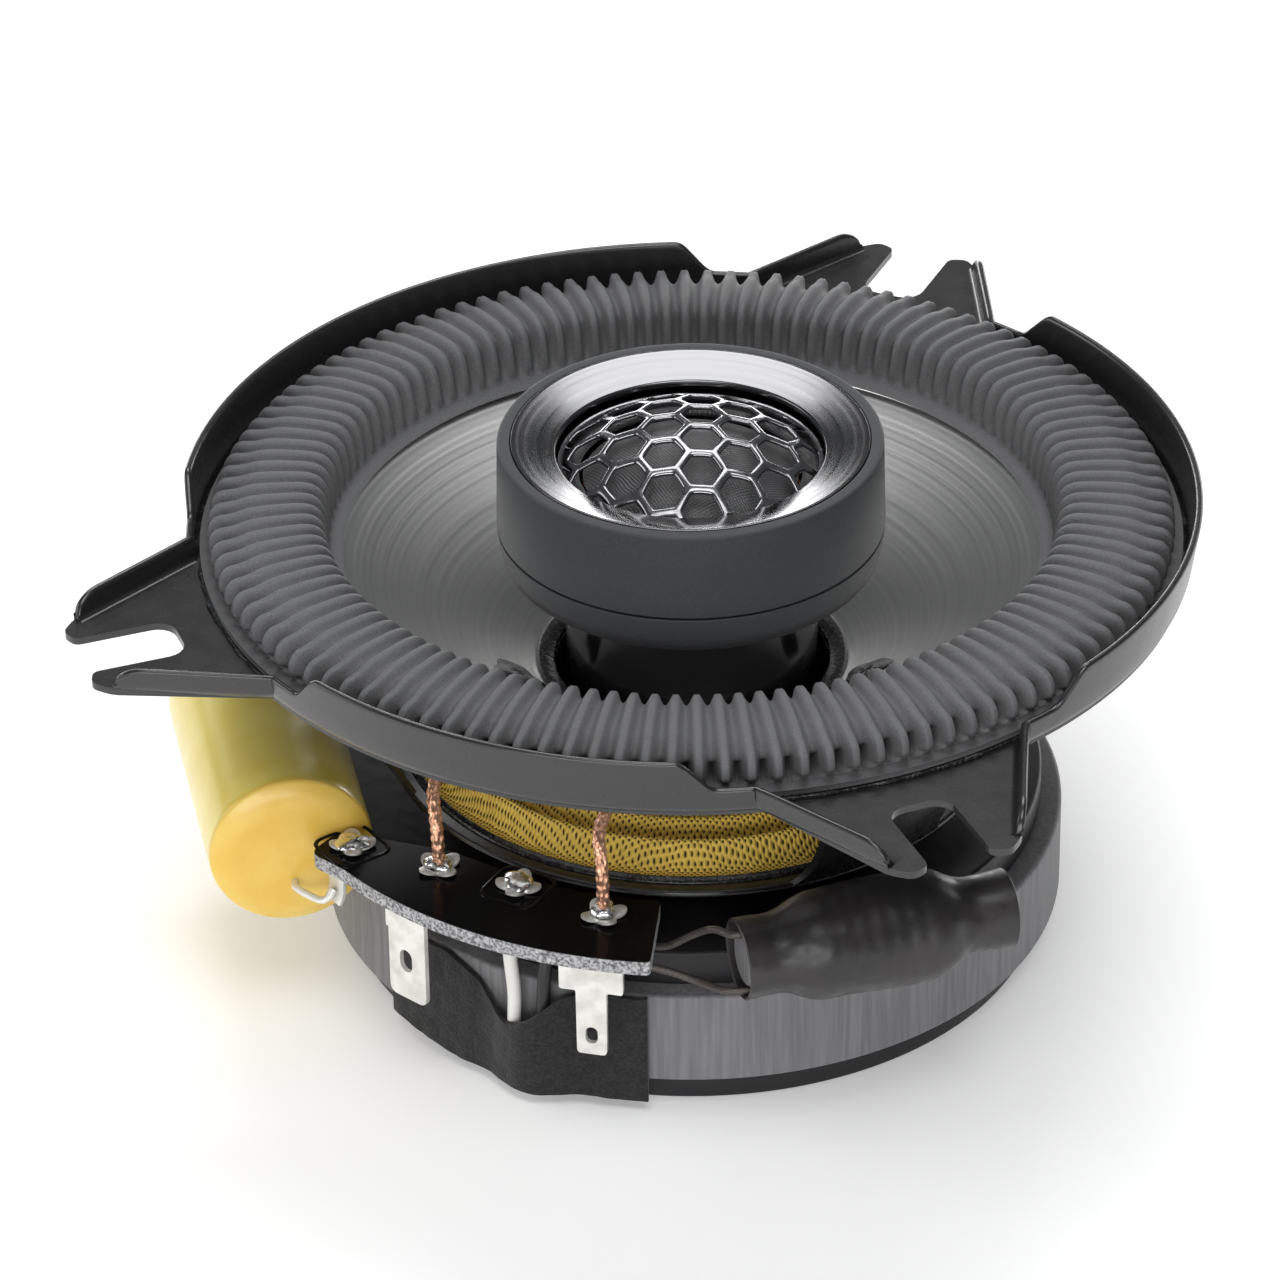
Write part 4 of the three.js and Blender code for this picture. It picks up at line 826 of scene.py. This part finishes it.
# ---- Bezel ----
# A spun steel ring, black chromed, pressed into the sleeve. Its sloping face has concentric tool marks, so
# the lights draw bright fans across it.
bezel_chrome = paint("black_chrome", (0.16, 0.16, 0.165), 0.14, Metallic=1.0, Anisotropic=0.85)
bezel_rings, bezel_noise = ring_lines(bezel_chrome, 0.22)
round_bezel = node(bezel_chrome, "Tangent", direction_type="RADIAL", axis="Z")
into(bezel_chrome, "Tangent", round_bezel.outputs["Tangent"])
grain(bezel_chrome, bezel_rings, 0.0006)
polish(bezel_chrome, bezel_noise, 0.12, 0.22)
hole_r, hole_top, shoulder_r, seat_z, bezel_r, bezel_top = 12.6, 50.45, 14.9, 50.2, 16.8, 51.62
bezel_outline = eased([
    (hole_r, hole_top), (hole_r, hole_top - 0.6), (shoulder_r, seat_z), (bezel_r - 0.05, seat_z),
    (bezel_r, bezel_top), (bezel_r - 0.2, bezel_top),
], np.array([0.25, 0.2, 0.2, 0.1, 0.1, 0.1]), 6)
bezel_ring = spun("bezel_ring", bezel_outline, turns=300, sharp=50)
dress(bezel_ring, "frame", "black_chrome", bezel_chrome, "tweeter_bezel")

# ---- Grille ----
# Sheet steel punched in a honeycomb and drawn into a dome, gunmetal plated. Each opening has rolled edges.
hex_pitch, bar_wide, mesh_thick = 4.06, 0.8, 0.55
first_hex = (1.03, 1.46)
dome_base_r, dome_base_z, dome_top_z = 12.25, 49.05, 53.5
dome_rise = dome_top_z - dome_base_z
ball_r = (dome_base_r ** 2 + dome_rise ** 2) / (2 * dome_rise)
cells = []
for row in range(-4, 5):
    for column in range(-4, 5):
        x = first_hex[0] + hex_pitch * np.sqrt(3) / 2 * row
        y = first_hex[1] + hex_pitch * (column + (0.5 if row % 2 else 0))
        if np.hypot(x, y) < dome_base_r + hex_pitch * 0.3:
            cells.append((x, y))
cells = np.array(cells)
side_steps = 6
corner_at = np.radians(60 * np.arange(7))
corners = np.c_[np.cos(corner_at), np.sin(corner_at)] * hex_pitch / np.sqrt(3)
t = (np.arange(side_steps) / side_steps)[None, :, None]
border = (corners[:6, None] * (1 - t) + corners[1:, None] * t).reshape(-1, 2)
# the opening is the same hexagon drawn in, with its corners rounded by a share of a circle
drawn_in = border * (1 - bar_wide / hex_pitch)
as_circle = border / np.linalg.norm(border, axis=1, keepdims=True) * (hex_pitch - bar_wide) / 2 * 1.05
opening = drawn_in * 0.78 + as_circle * 0.22
# across the bar: share of the way from the border to the opening, and height as a share of half its thickness
bar = [
    (0, 1), (0.45, 0.97), (0.75, 0.78), (0.93, 0.4), (1, 0), (0.93, -0.4), (0.75, -0.78), (0.45, -0.97),
    (0, -1),
]
loops = []
for share, height in bar:
    plan = cells[:, None] + border[None] * (1 - share) + opening[None] * share
    far = np.linalg.norm(plan, axis=-1, keepdims=True)
    plan = np.where(far > dome_base_r, plan / far * dome_base_r, plan)
    ball = np.sqrt(ball_r ** 2 - (plan ** 2).sum(-1))
    z = dome_top_z - ball_r + ball + (height - 1) * mesh_thick / 2
    loops.append(np.concatenate([plan, z[..., None]], -1))
grid = np.stack(loops, 1)
count, across, around = grid.shape[:3]
i = np.arange(across - 1)[:, None]
j = np.arange(around)[None, :]
ring_faces = np.stack([
    i * around + j, i * around + (j + 1) % around, (i + 1) * around + (j + 1) % around, (i + 1) * around + j,
], -1).reshape(-1, 4)
faces = (np.arange(count)[:, None, None] * across * around + ring_faces[None]).reshape(-1, 4)
points = grid.reshape(-1, 3)
points[:, :2] = turned_plan(points[:, :2], 23.4)
grille = merge(mesh_of("honeycomb_grille", points, faces, sharp=80))
gunmetal = paint(
    "gunmetal_plate", (0.27, 0.27, 0.28), 0.2,
    patches=(1.2, 3, 0.15, 0.28), bumps=(0.4, 2, 0.004), Metallic=1.0,
)
dress(grille, "frame", "grille_metal", gunmetal, "tweeter_grille")
grille_rim = eased([
    (12.0, 48.7), (13.9, 48.7), (13.9, 49.05), (12.75, 49.1), (12.45, 49.35), (12.0, 49.2),
], 0.15)
dress(spun("grille_rim", grille_rim), "frame", "grille_metal", gunmetal)

# ---- Dome ----
# Coated black silk pressed into a dome, with a half-round edge roll glued to a plastic ring. The voice coil
# hangs from it in the gap of a small steel motor.
silk = paint("coated_silk", (0.03, 0.03, 0.033), 0.42, Specular_IOR_Level=0.7, Sheen_Weight=0.3)
silk_weave = woven(silk, 0.19, 8)
grain(silk, silk_weave, 0.03)
polish(silk, spots(silk, 0.6, 3), 0.34, 0.5)
dome_r, dome_low, dome_high = band("tweeter_dome")
silk_ball = (dome_r ** 2 + (dome_high - dome_low) ** 2) / (2 * (dome_high - dome_low))
bow = np.linspace(np.arcsin(dome_r / silk_ball), 0.0008, 40)
outer = np.c_[silk_ball * np.sin(bow), dome_high - silk_ball + silk_ball * np.cos(bow)]
dome = spun("silk_dome", np.concatenate([outer, (outer - (0, 0.25))[::-1] * (0.985, 1)]), turns=160)
dress(dome, "tweeter_diaphragm", "dome_cloth", silk, "tweeter_dome")
roll = np.radians(np.linspace(180, 0, 16))
roll_r, roll_still_r, roll_wide, seat_r = 11.1, 11.9, 1.2, 13.7
edge_roll = np.concatenate([
    np.c_[roll_r + 0.62 * np.cos(roll), 47.95 + 0.5 * np.sin(roll)],
    [(12.2, 48.0), (seat_r, 48.0), (seat_r, 47.85), (12.1, 47.85)],
    np.c_[roll_r + 0.5 * np.cos(roll), 47.8 + 0.4 * np.sin(roll)][::-1],
])
suspension = spun("silk_edge_roll", edge_roll, turns=160)
stretch_between(
    suspension, silk,
    (roll_still_r - radii(suspension)) / roll_wide, "tweeter_suspension",
)
face_r, face_low, face_high = band("tweeter_face_ring")
face_outline = tube(12.4, face_r, face_low, face_high, 0.2)
dress(spun("tweeter_face", face_outline), "frame", "pod_plastic", pod_grain, "tweeter_face_ring")

# ---- Terminal board ----
# Fibre board, glossy black on top and speckled grey at its cut edge. Four barrels are flared over it into
# petals and filled with solder, and raised lines frame two of them.
board_low, board_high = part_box("terminal_board")[0][2] / mm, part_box("terminal_board")[1][2] / mm


def plan_spot(radius, degrees):
    """Plan coordinates of a spot given by its radius and angle."""
    return polar_points([(radius, degrees, 0)])[0, :2]


board_far_r, board_near_r, board_end_degrees, barrel_hole_r = 31.6, 41.4, 287.8, 1.35
far_edge = circle(board_far_r, steps=24, start=board_end_degrees, end=257, full=False)
near_edge = circle(board_near_r, steps=30, start=242, end=board_end_degrees, full=False)
board_outline = np.concatenate([
    [plan_spot(42.4, 236.2)], near_edge, far_edge,
    [plan_spot(32.4, 248), plan_spot(35.6, 239.5), plan_spot(38.5, 234)],
])
board_outline = eased(board_outline, 1.1, 5)
terminals = {
    "solder_tag": (38.7, 238.2), "positive_tab": (35.0, 251.0),
    "spare_rivet": (33.3, 264.3), "negative_tab": (34.9, 279.6),
}
holes = [circle(barrel_hole_r, plan_spot(*spot), 20) for spot in terminals.values()]
board = soften(plate("fibre_board", [board_outline, *holes], board_low, board_high), 0.1)
board_face = paint("board_lacquer", (0.01, 0.01, 0.011), 0.15, Specular_IOR_Level=0.12)
board_place = node(board_face, "TexCoord").outputs["Object"]
height_of = node(board_face, "SeparateXYZ", {"Vector": board_place}).outputs["Z"]
on_top = ranged(board_face, height_of, (board_high - 0.12) * mm, (board_high - 0.06) * mm)
speckle = ranged(board_face, spots(board_face, 0.3, 5), 0.38, 0.62)
cut_edge = between(board_face, speckle, (0.12, 0.12, 0.125), (0.5, 0.5, 0.51))
into(board_face, "Base Color", between(board_face, on_top, cut_edge, (0.004, 0.004, 0.0045)))
into(board_face, "Roughness", ranged(board_face, on_top, 0, 1, 0.75, 0.14))
grain(board_face, spots(board_face, 0.5, 4), 0.012)
dress(board, "frame", "board_fibre", board_face, "terminal_board")


line_half, line_corner, line_wide, line_high = 2.75, 1.3, 0.22, 0.16


def frame_line(name, spot):
    """A raised line round a terminal: a rounded square path with a low round section."""
    square = eased(line_half * np.array([(1, -1), (1, 1), (-1, 1), (-1, -1)]), line_corner, 10)
    centre = plan_spot(*spot)
    plan = turned_plan(square, spot[1] - 270) + centre
    across = np.radians(np.linspace(0, 180, 7))
    outward = plan - centre
    outward /= np.linalg.norm(outward, axis=1, keepdims=True)
    ridge = np.stack([
        np.c_[
            plan + outward * line_wide * np.cos(a),
            np.full(len(plan), board_high - 0.01 + line_high * np.sin(a)),
        ]
        for a in across
    ], 1)
    return skin(name, ridge)


for k, key in enumerate(("solder_tag", "spare_rivet")):
    raised_line = frame_line("board_frame_line_%d" % (k + 1), terminals[key])
    dress(raised_line, "frame", "board_fibre", board_face)

tin = paint(
    "tinned_brass", (0.82, 0.81, 0.77), 0.45,
    patches=(0.9, 4, 0.34, 0.55), bumps=(0.35, 3, 0.012), Metallic=0.55,
)
mottle(tin, spots(tin, 1.6, 4), (0.66, 0.65, 0.61), (0.84, 0.83, 0.79))
bright_solder = paint(
    "bright_solder", (0.82, 0.82, 0.83), 0.18,
    patches=(0.7, 3, 0.12, 0.34), bumps=(0.6, 3, 0.06), Metallic=1.0,
)


def barrel(name, spot, turn_by):
    """A tube through the board whose top is split in four and curled out: the petals' reach follows the
    fourth harmonic of the angle, and their tips lift a little."""
    a = np.linspace(0, 2 * np.pi, 96, endpoint=False)[:, None]
    petal = 0.5 + 0.5 * np.cos(4 * a)
    reach = 1.25 + (0.95 + 0.12 * np.sin(a + turn_by)) * petal ** 0.6
    lift = 0.28 * petal + 0.06 * np.sin(2 * a + turn_by)
    low, top = board_low - 0.8, board_high
    rows = [
        (0.85 + 0 * a, low + 0 * a), (1.1 + 0 * a, low + 0 * a), (1.1 + 0 * a, top - 0.2 + 0 * a),
        (1.2 + 0 * a, top + 0.06 + 0 * a), (0.5 * (1.2 + reach), top + 0.12 + 0.2 * lift),
        (reach, top + 0.1 + lift), (reach - 0.02, top + 0.3 + lift),
        (0.5 * (1.1 + reach), top + 0.42 + 0.5 * lift),
        (1.1 + 0 * a, top + 0.4 + 0 * a), (0.85 + 0 * a, top + 0.1 + 0 * a),
    ]
    r = np.concatenate([row[0] for row in rows], 1)
    z = np.concatenate([row[1] for row in rows], 1)
    return skin(name, polar(r, a + turn_by, z) + (*plan_spot(*spot), 0))


def solder_drop(name, spot, seed, wide, high):
    """A frozen drop of solder: a flattened ball with low waves in its radius, drawn up in the middle."""
    a = np.linspace(0, 2 * np.pi, 40, endpoint=False)[:, None]
    s = np.linspace(0, 1, 18)[None, :]
    lumpy = 1 + 0.13 * np.sin(2 * a + seed) + 0.09 * np.sin(3 * a + 2 * seed)
    lumpy = lumpy + 0.05 * np.sin(7 * a + 3 * seed)
    r = wide * lumpy * np.sin(np.pi * s) ** 0.75
    uneven_top = 1 + 0.1 * np.sin(3 * a + seed) * np.sin(np.pi * s)
    z = board_high + 0.1 + high * (0.5 - 0.5 * np.cos(np.pi * s)) * uneven_top
    return skin(name, polar(r, a, z) + (*plan_spot(*spot), 0), columns_close=False)


# how wide and how high each drop of solder stands
drops = {
    "solder_tag": (1.55, 0.8), "positive_tab": (1.25, 1.0),
    "spare_rivet": (1.45, 1.15), "negative_tab": (1.2, 1.3),
}
for k, (key, spot) in enumerate(terminals.items()):
    stands_for = ("spare_rivet",) if key == "spare_rivet" else ()
    dress(barrel(key + "_barrel", spot, 0.5 + 0.6 * k), "frame", "tinned_metal", tin, *stands_for)
    drop = solder_drop(key + "_solder_drop", spot, 1.3 * k + 0.4, *drops[key])
    dress(drop, "frame", "solder", bright_solder, "solder_" + key)

# ---- Tabs ----
# Blades blanked from tinned brass strip, 0.5 mm thick: a wide one, a narrow one with a shoulder, and a small
# bent tag. Each has a tongue under the board that joins it to its barrel.
fall_r, strip = 40.4, 0.5
tongue_top = board_low - 0.05


def hanging_blade(name, outline, hole, angle):
    """A blade outline across and down, thickened outwards at the fall radius."""
    made = plate(name, [outline, hole], -strip, 0)
    a = np.radians(angle - 270)
    upright = Matrix.Translation((0, -fall_r * mm, 0)) @ Matrix.Rotation(np.pi / 2, 4, "X")
    made.data.transform(Matrix.Rotation(a, 4, "Z") @ upright @ Matrix.Scale(-1, 4, (0, 0, 1)))
    made.data.flip_normals()
    return soften(made, 0.07)


def slot_outline(wide, low, high):
    """An oval hole with round ends."""
    half = wide / 2
    over = np.radians(np.linspace(0, 180, 12))
    top_end = np.c_[half * np.cos(over), high - half + half * np.sin(over)]
    return np.concatenate([top_end, np.c_[-half * np.cos(over), low + half - half * np.sin(over)]])


def tongue_plate(name, spot, angle, wide):
    """The strip under the board from a barrel to the bend over its blade."""
    start, end = plan_spot(*spot), plan_spot(fall_r + strip, angle)
    way_out = (end - start) / np.linalg.norm(end - start)
    beside = np.array([-way_out[1], way_out[0]]) * wide / 2
    back = start - way_out * 1.6
    corners = np.array([1.2, 0.1, 0.1, 1.2])
    outline = eased([back - beside, end - beside, end + beside, back + beside], corners, 6)
    return soften(plate(name, [outline], tongue_top - strip, tongue_top), 0.07)


wide_low, narrow_low = (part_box(name)[0][2] / mm for name in ("positive_tab", "negative_tab"))
wide_angle, narrow_angle, tag_angle, tongue_wide = 252.7, 280, 238.2, 3.4
wide_half, narrow_half, shoulder_half = 2.4, 1.4, 3
wide_shoulder, narrow_shoulder = tongue_top - 2.2, tongue_top - 2.7
wide_outline = eased([
    (-wide_half, tongue_top), (-wide_half, wide_shoulder), (0.3 - wide_half, wide_shoulder),
    (0.3 - wide_half, wide_low), (wide_half, wide_low), (wide_half, tongue_top),
], np.array([0.1, 0.1, 0.1, 0.9, 0.9, 0.1]), 5)
narrow_outline = eased([
    (-shoulder_half, tongue_top), (-shoulder_half, narrow_shoulder), (-narrow_half - 0.05, narrow_shoulder),
    (-narrow_half, narrow_low), (narrow_half, narrow_low), (narrow_half + 0.05, narrow_shoulder),
    (shoulder_half, narrow_shoulder), (shoulder_half, tongue_top),
], np.array([0.1, 0.3, 0.2, 0.45, 0.45, 0.2, 0.3, 0.1]), 5)
wide_hole = slot_outline(1.5, wide_low + 3.0, wide_low + 5.4)
narrow_hole = slot_outline(1.15, narrow_low + 1.2, narrow_low + 3.0)
for size, outline, hole, angle, key in (
    ("wide", wide_outline, wide_hole, wide_angle, "positive_tab"),
    ("narrow", narrow_outline, narrow_hole, narrow_angle, "negative_tab"),
):
    dress(hanging_blade(size + "_blade", outline, hole, angle), "frame", "tinned_metal", tin, key)
    tongue = tongue_plate(size + "_tongue", terminals[key], angle, tongue_wide)
    dress(tongue, "frame", "tinned_metal", tin)
tag_out = along(polar_points([
    (37.6, tag_angle, tongue_top - 0.3), (39.6, tag_angle, tongue_top - 0.35),
    (40.35, tag_angle, tongue_top - 1.1), (40.5, tag_angle, tongue_top - 2.6),
    (40.9, tag_angle, tongue_top - 3.6),
]), 40)
tag_half = 1.2
strip_section = eased([
    (-strip / 2, -tag_half), (strip / 2, -tag_half), (strip / 2, tag_half), (-strip / 2, tag_half),
], 0.1, 4)
tag_side = (-np.sin(np.radians(tag_angle)), np.cos(np.radians(tag_angle)), 0)
dress(swept("bent_tag", tag_out, strip_section, tag_side), "frame", "tinned_metal", tin, "solder_tag")

# ---- Capacitor ----
# A wound film roll in a taped yellow wrap, filled with amber epoxy at both ends. It lies against the magnet.
front, back = np.array([-26.5, -33.3, 19.0]), np.array([-42.6, -10.3, 19.0])
can_r, can_long = 7.8, np.linalg.norm(back - front)


def laid(piece, start, end):
    """Lays a piece that was spun about Z along the line from start to end."""
    turn_to = Vector(end - start).to_track_quat("Z", "Y").to_matrix().to_4x4()
    piece.data.transform(Matrix.Translation(Vector(start) * mm) @ turn_to)
    return piece


wrap_outline = eased([
    (can_r - 0.5, 0.3), (can_r - 0.05, 0.3), (can_r, 0.8), (can_r, can_long - 0.8),
    (can_r - 0.05, can_long - 0.3), (can_r - 0.5, can_long - 0.3),
], 0.3)
wrap = laid(spun("film_wrap", wrap_outline, turns=160), front, back)
yellow_film = paint(
    "yellow_film", (0.9, 0.68, 0.13), 0.28, Subsurface_Weight=0.25, Subsurface_Scale=0.003, Coat_Weight=0.4,
    Coat_Roughness=0.15,
)
yellow_film.node_tree.nodes["Principled BSDF"].inputs["Subsurface Radius"].default_value = (1, 0.7, 0.2)
film_spots = spots(yellow_film, 5, 3)
mottle(yellow_film, film_spots, (0.88, 0.64, 0.08), (0.95, 0.73, 0.14))
grain(yellow_film, spots(yellow_film, 3, 2), 0.03)
dress(wrap, "frame", "capacitor_film", yellow_film, "capacitor_wrap")
fill_r = can_r - 0.04
fill_outline = eased([
    (0.01, -0.75), (fill_r - 1.6, -0.65), (fill_r, 0.15), (fill_r, 0.9), (0.01, 0.9),
], np.array([0.001, 1.6, 0.9, 0.2, 0.001]), 9)
amber = paint(
    "amber_epoxy", (0.92, 0.6, 0.16), 0.3, Subsurface_Weight=0.3, Subsurface_Scale=0.004, Coat_Weight=0.3,
    Coat_Roughness=0.2,
)
amber.node_tree.nodes["Principled BSDF"].inputs["Subsurface Radius"].default_value = (1, 0.6, 0.15)
mottle(amber, spots(amber, 4, 3), (0.82, 0.5, 0.07), (0.88, 0.58, 0.12))
grain(amber, spots(amber, 2.4, 2), 0.05)
for name, start, end, stands_for in (
    ("epoxy_front", front, back, "capacitor_fill_front"), ("epoxy_back", back, front, "capacitor_fill_back"),
):
    dress(laid(spun(name, fill_outline, turns=120), start, end), "frame", "epoxy", amber, stands_for)
out_of_can = (front - back) / can_long
lead_start = front + (0.3, -0.3, -3.0) + out_of_can * 0.3
lead_path = along([
    lead_start, lead_start + out_of_can * 1.2, polar_points([(42.2, 237.4, 15.9)])[0],
    polar_points([(41.5, 238.2, 16.2)])[0], polar_points([(40.9, 238.2, 16.9)])[0],
], 60)
thin_wire_r = 0.36
thin_round = circle(thin_wire_r, steps=14)
dress(
    swept("capacitor_front_lead", lead_path, thin_round, (0, 0, 1)),
    "frame", "tinned_metal", tin, "capacitor_lead_front",
)

# ---- Inductor ----
# Enamelled wire on a ferrite rod, in black heat-shrink that has pulled down over both ends and wrinkled at
# the shoulders. The rod's end shows in the open mouth of the sleeve.
near, far = np.array([19.2, -34.2, 19.5]), np.array([38.6, -17.1, 19.5])
coil_long = np.linalg.norm(far - near)
length_way = np.linspace(0, coil_long, 90)
sleeve_r = np.interp(length_way, (0, 3.6, 6.4, 18.8, 21.2, coil_long), (3.75, 3.6, 5.15, 5.2, 3.6, 3.75))
sleeve_r = np.convolve(np.pad(sleeve_r, 4, mode="edge"), np.ones(9) / 9, "valid")
shrink_outline = np.concatenate([
    np.c_[sleeve_r, length_way], [(sleeve_r[-1] - 0.2, coil_long + 0.12)],
    np.c_[sleeve_r - 0.4, length_way][::-1], [(sleeve_r[0] - 0.2, -0.12)],
])
angle = np.linspace(0, 2 * np.pi, 160, endpoint=False)[:, None]
r, z = shrink_outline[None, :, 0], shrink_outline[None, :, 1] + 0 * angle
at_shoulder = np.exp(-((z - 5.0) / 1.6) ** 2) + np.exp(-((z - 20.2) / 1.6) ** 2)
wrinkle = at_shoulder * (0.05 * np.sin(7 * angle + 0.8 * z) + 0.03 * np.sin(13 * angle - z))
windings_show = 0.025 * np.sin(2 * np.pi * z / 1.7) * np.clip(1 - ((z - 12.6) / 6.4) ** 4, 0, 1)
out_of_round = 0.1 * np.sin(2 * angle + 0.4 * z) + 0.05 * np.sin(3 * angle - 0.7 * z)
r = r + wrinkle + windings_show + out_of_round
sleeve = laid(skin("shrink_sleeve", polar(r, angle, z), sharp=50), near, far)
shrink = paint(
    "heat_shrink", (0.024, 0.022, 0.022), 0.42,
    patches=(1.4, 4, 0.28, 0.5), bumps=(0.9, 3, 0.03), Specular_IOR_Level=0.5,
)
mottle(shrink, spots(shrink, 6, 3), (0.019, 0.017, 0.017), (0.032, 0.028, 0.028))
dress(sleeve, "frame", "heat_shrink", shrink, "inductor_sleeve")
rod_r = 2.6
rod_outline = eased([
    (0.01, 0.3), (rod_r, 0.3), (rod_r, coil_long - 0.5), (0.01, coil_long - 0.5),
], np.array([0.001, 0.35, 0.35, 0.001]), 5)
rod = laid(spun("ferrite_rod", rod_outline, turns=64), near, far)
dress(rod, "frame", "ferrite", ferrite, "inductor_core")
lining_r = rod_r + 0.02
packing_outline = eased([(lining_r, 0.7), (3.3, 0.9), (3.15, 3.4), (lining_r, 3.4)], 0.15)
dress(laid(spun("sleeve_lining", packing_outline, turns=64), near, far), "frame", "heat_shrink", shrink)
inductor_routes = {
    "inductor_lead_inner": [
        (20.6, -33.6, 22.3), (18.7, -34.7, 22.4), (16.4, -33.8, 21.8), (14, -33, 20), (11.6, -33.4, 18.4),
        (9, -33.8, 18.2),
    ],
    "inductor_lead_outer": [
        (20.6, -34.6, 16.7), (18.4, -35.4, 16.6), (15.6, -35.2, 16.7), (12.6, -35.4, 17.2), (9, -36.2, 17.8),
    ],
}
dark_wire = paint(
    "varnished_wire", (0.06, 0.05, 0.045), 0.3,
    patches=(0.8, 3, 0.24, 0.4), bumps=(0.2, 2, 0.005), Metallic=0.3,
)
for name, route in inductor_routes.items():
    dress(
        swept(name + "_wire", along(route, 60), thin_round, (0, 0, 1)), "frame", "copper", dark_wire, name,
    )

# ---- Tweeter wires and tape ----
# One white and one black wire leave the underside of the board, run down the side of the magnet under black
# cloth tape, and turn under the rear plate to the hole in the pole, which takes them up to the tweeter.
wire_r, plate_r, tape_thick = 0.65, 33.5, 0.45


def wire_route(angle, side, start_r, start_angle):
    """The wire's points from the board to the pole's hole."""
    outside = polar_points([
        (start_r, start_angle, 17.4), (magnet_r + 0.7, (start_angle + angle) / 2, 16.0),
        (magnet_r + 1.15, angle, 11.5), (magnet_r + 1.15, angle, 5.0),
    ])
    low = 1.5
    under = np.array([
        (side * 1.1, -magnet_r + 0.4, low), (side, -plate_r + 2.5, low), (side, -3, low),
        (side, -0.7, low + 1.3), (side, 0, 6), (side, 0, 38.6),
    ])
    return np.concatenate([outside, under])


white_cover = paint(
    "white_insulation", (0.82, 0.81, 0.77), 0.38, patches=(1.5, 3, 0.32, 0.46), bumps=(0.8, 2, 0.01),
)
black_cover = paint(
    "black_insulation", (0.014, 0.014, 0.015), 0.34, patches=(1.5, 3, 0.28, 0.42), bumps=(0.8, 2, 0.01),
)
wire_round = circle(wire_r, steps=20)
white_route = along(wire_route(266.3, -1, 34.2, 264.3), 260)
white_wire = swept("white_tweeter_wire", white_route, wire_round, (1, 0, 0))
dress(white_wire, "frame", "white_insulation", white_cover, "tweeter_wire_white")
black_wire = swept("black_tweeter_wire", along(wire_route(271, 1, 34.4, 271.6), 260), wire_round, (1, 0, 0))
dress(black_wire, "frame", "black_insulation", black_cover, "tweeter_wire_black")


def cloth_tape():
    """A strip of tape round the magnet's front: its radius swells over the wires, its top edge dips where
    they go in, its faces are a little uneven."""
    angle = np.linspace(241.5, 286.4, 160)[:, None]
    share = np.linspace(0, 1, 40)[None, :]
    swell = np.where(np.abs(angle - 268.6) < 9, (1 + np.cos(np.pi * (angle - 268.6) / 9)) / 2, 0)
    high = 12.9 - 4.3 * np.exp(-((angle - 265.5) / 6.5) ** 2) + 0.12 * np.sin(0.9 * angle)
    low = 1.3 + 1.2 * np.clip((256 - angle) / 15, 0, 1)
    z = low + (high - low) * share
    uneven = 0.1 * np.sin(0.55 * angle + 0.8 * z) + 0.07 * np.sin(1.3 * angle - 1.1 * z)
    r = magnet_r + 0.25 + (2 * wire_r + 0.75) * swell * (0.8 + 0.2 * share) + 0.5 * np.abs(uneven)
    a = np.radians(angle)
    faces = [polar(r + tape_thick, a, z), polar(r, a, z)[:, ::-1]]
    return capped("cloth_tape", np.concatenate(faces, 1), sharp=60)


tape_cloth = paint("black_cloth_tape", (0.022, 0.022, 0.023), 0.8, Specular_IOR_Level=0.3, Sheen_Weight=0.15)
tape_noise = spots(tape_cloth, 0.35, 4)
grain(tape_cloth, tape_noise, 0.09)
mottle(tape_cloth, tape_noise, (0.006, 0.006, 0.0065), (0.02, 0.02, 0.021))
dress(cloth_tape(), "frame", "tape_cloth", tape_cloth, "insulation_tape")

# ---- Hidden pieces ----
# The small motor inside the pod, the capacitor's roll and the inductor's winding stay as they are built, with
# the finish of their material.
turned_steel = paint(
    "turned_steel", (0.42, 0.42, 0.43), 0.32,
    patches=(1.2, 3, 0.26, 0.42), bumps=(0.3, 2, 0.006), Metallic=1.0,
)
hidden = {
    "tweeter_yoke": turned_steel, "tweeter_magnet": turned_steel, "tweeter_top_plate": turned_steel,
    "tweeter_coil_former": anodised, "tweeter_coil_winding": enamel, "capacitor_roll": yellow_film,
    "inductor_winding": enamel,
}
for name, material in hidden.items():
    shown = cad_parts[name]
    shown.data.materials.clear()
    shown.data.materials.append(material)
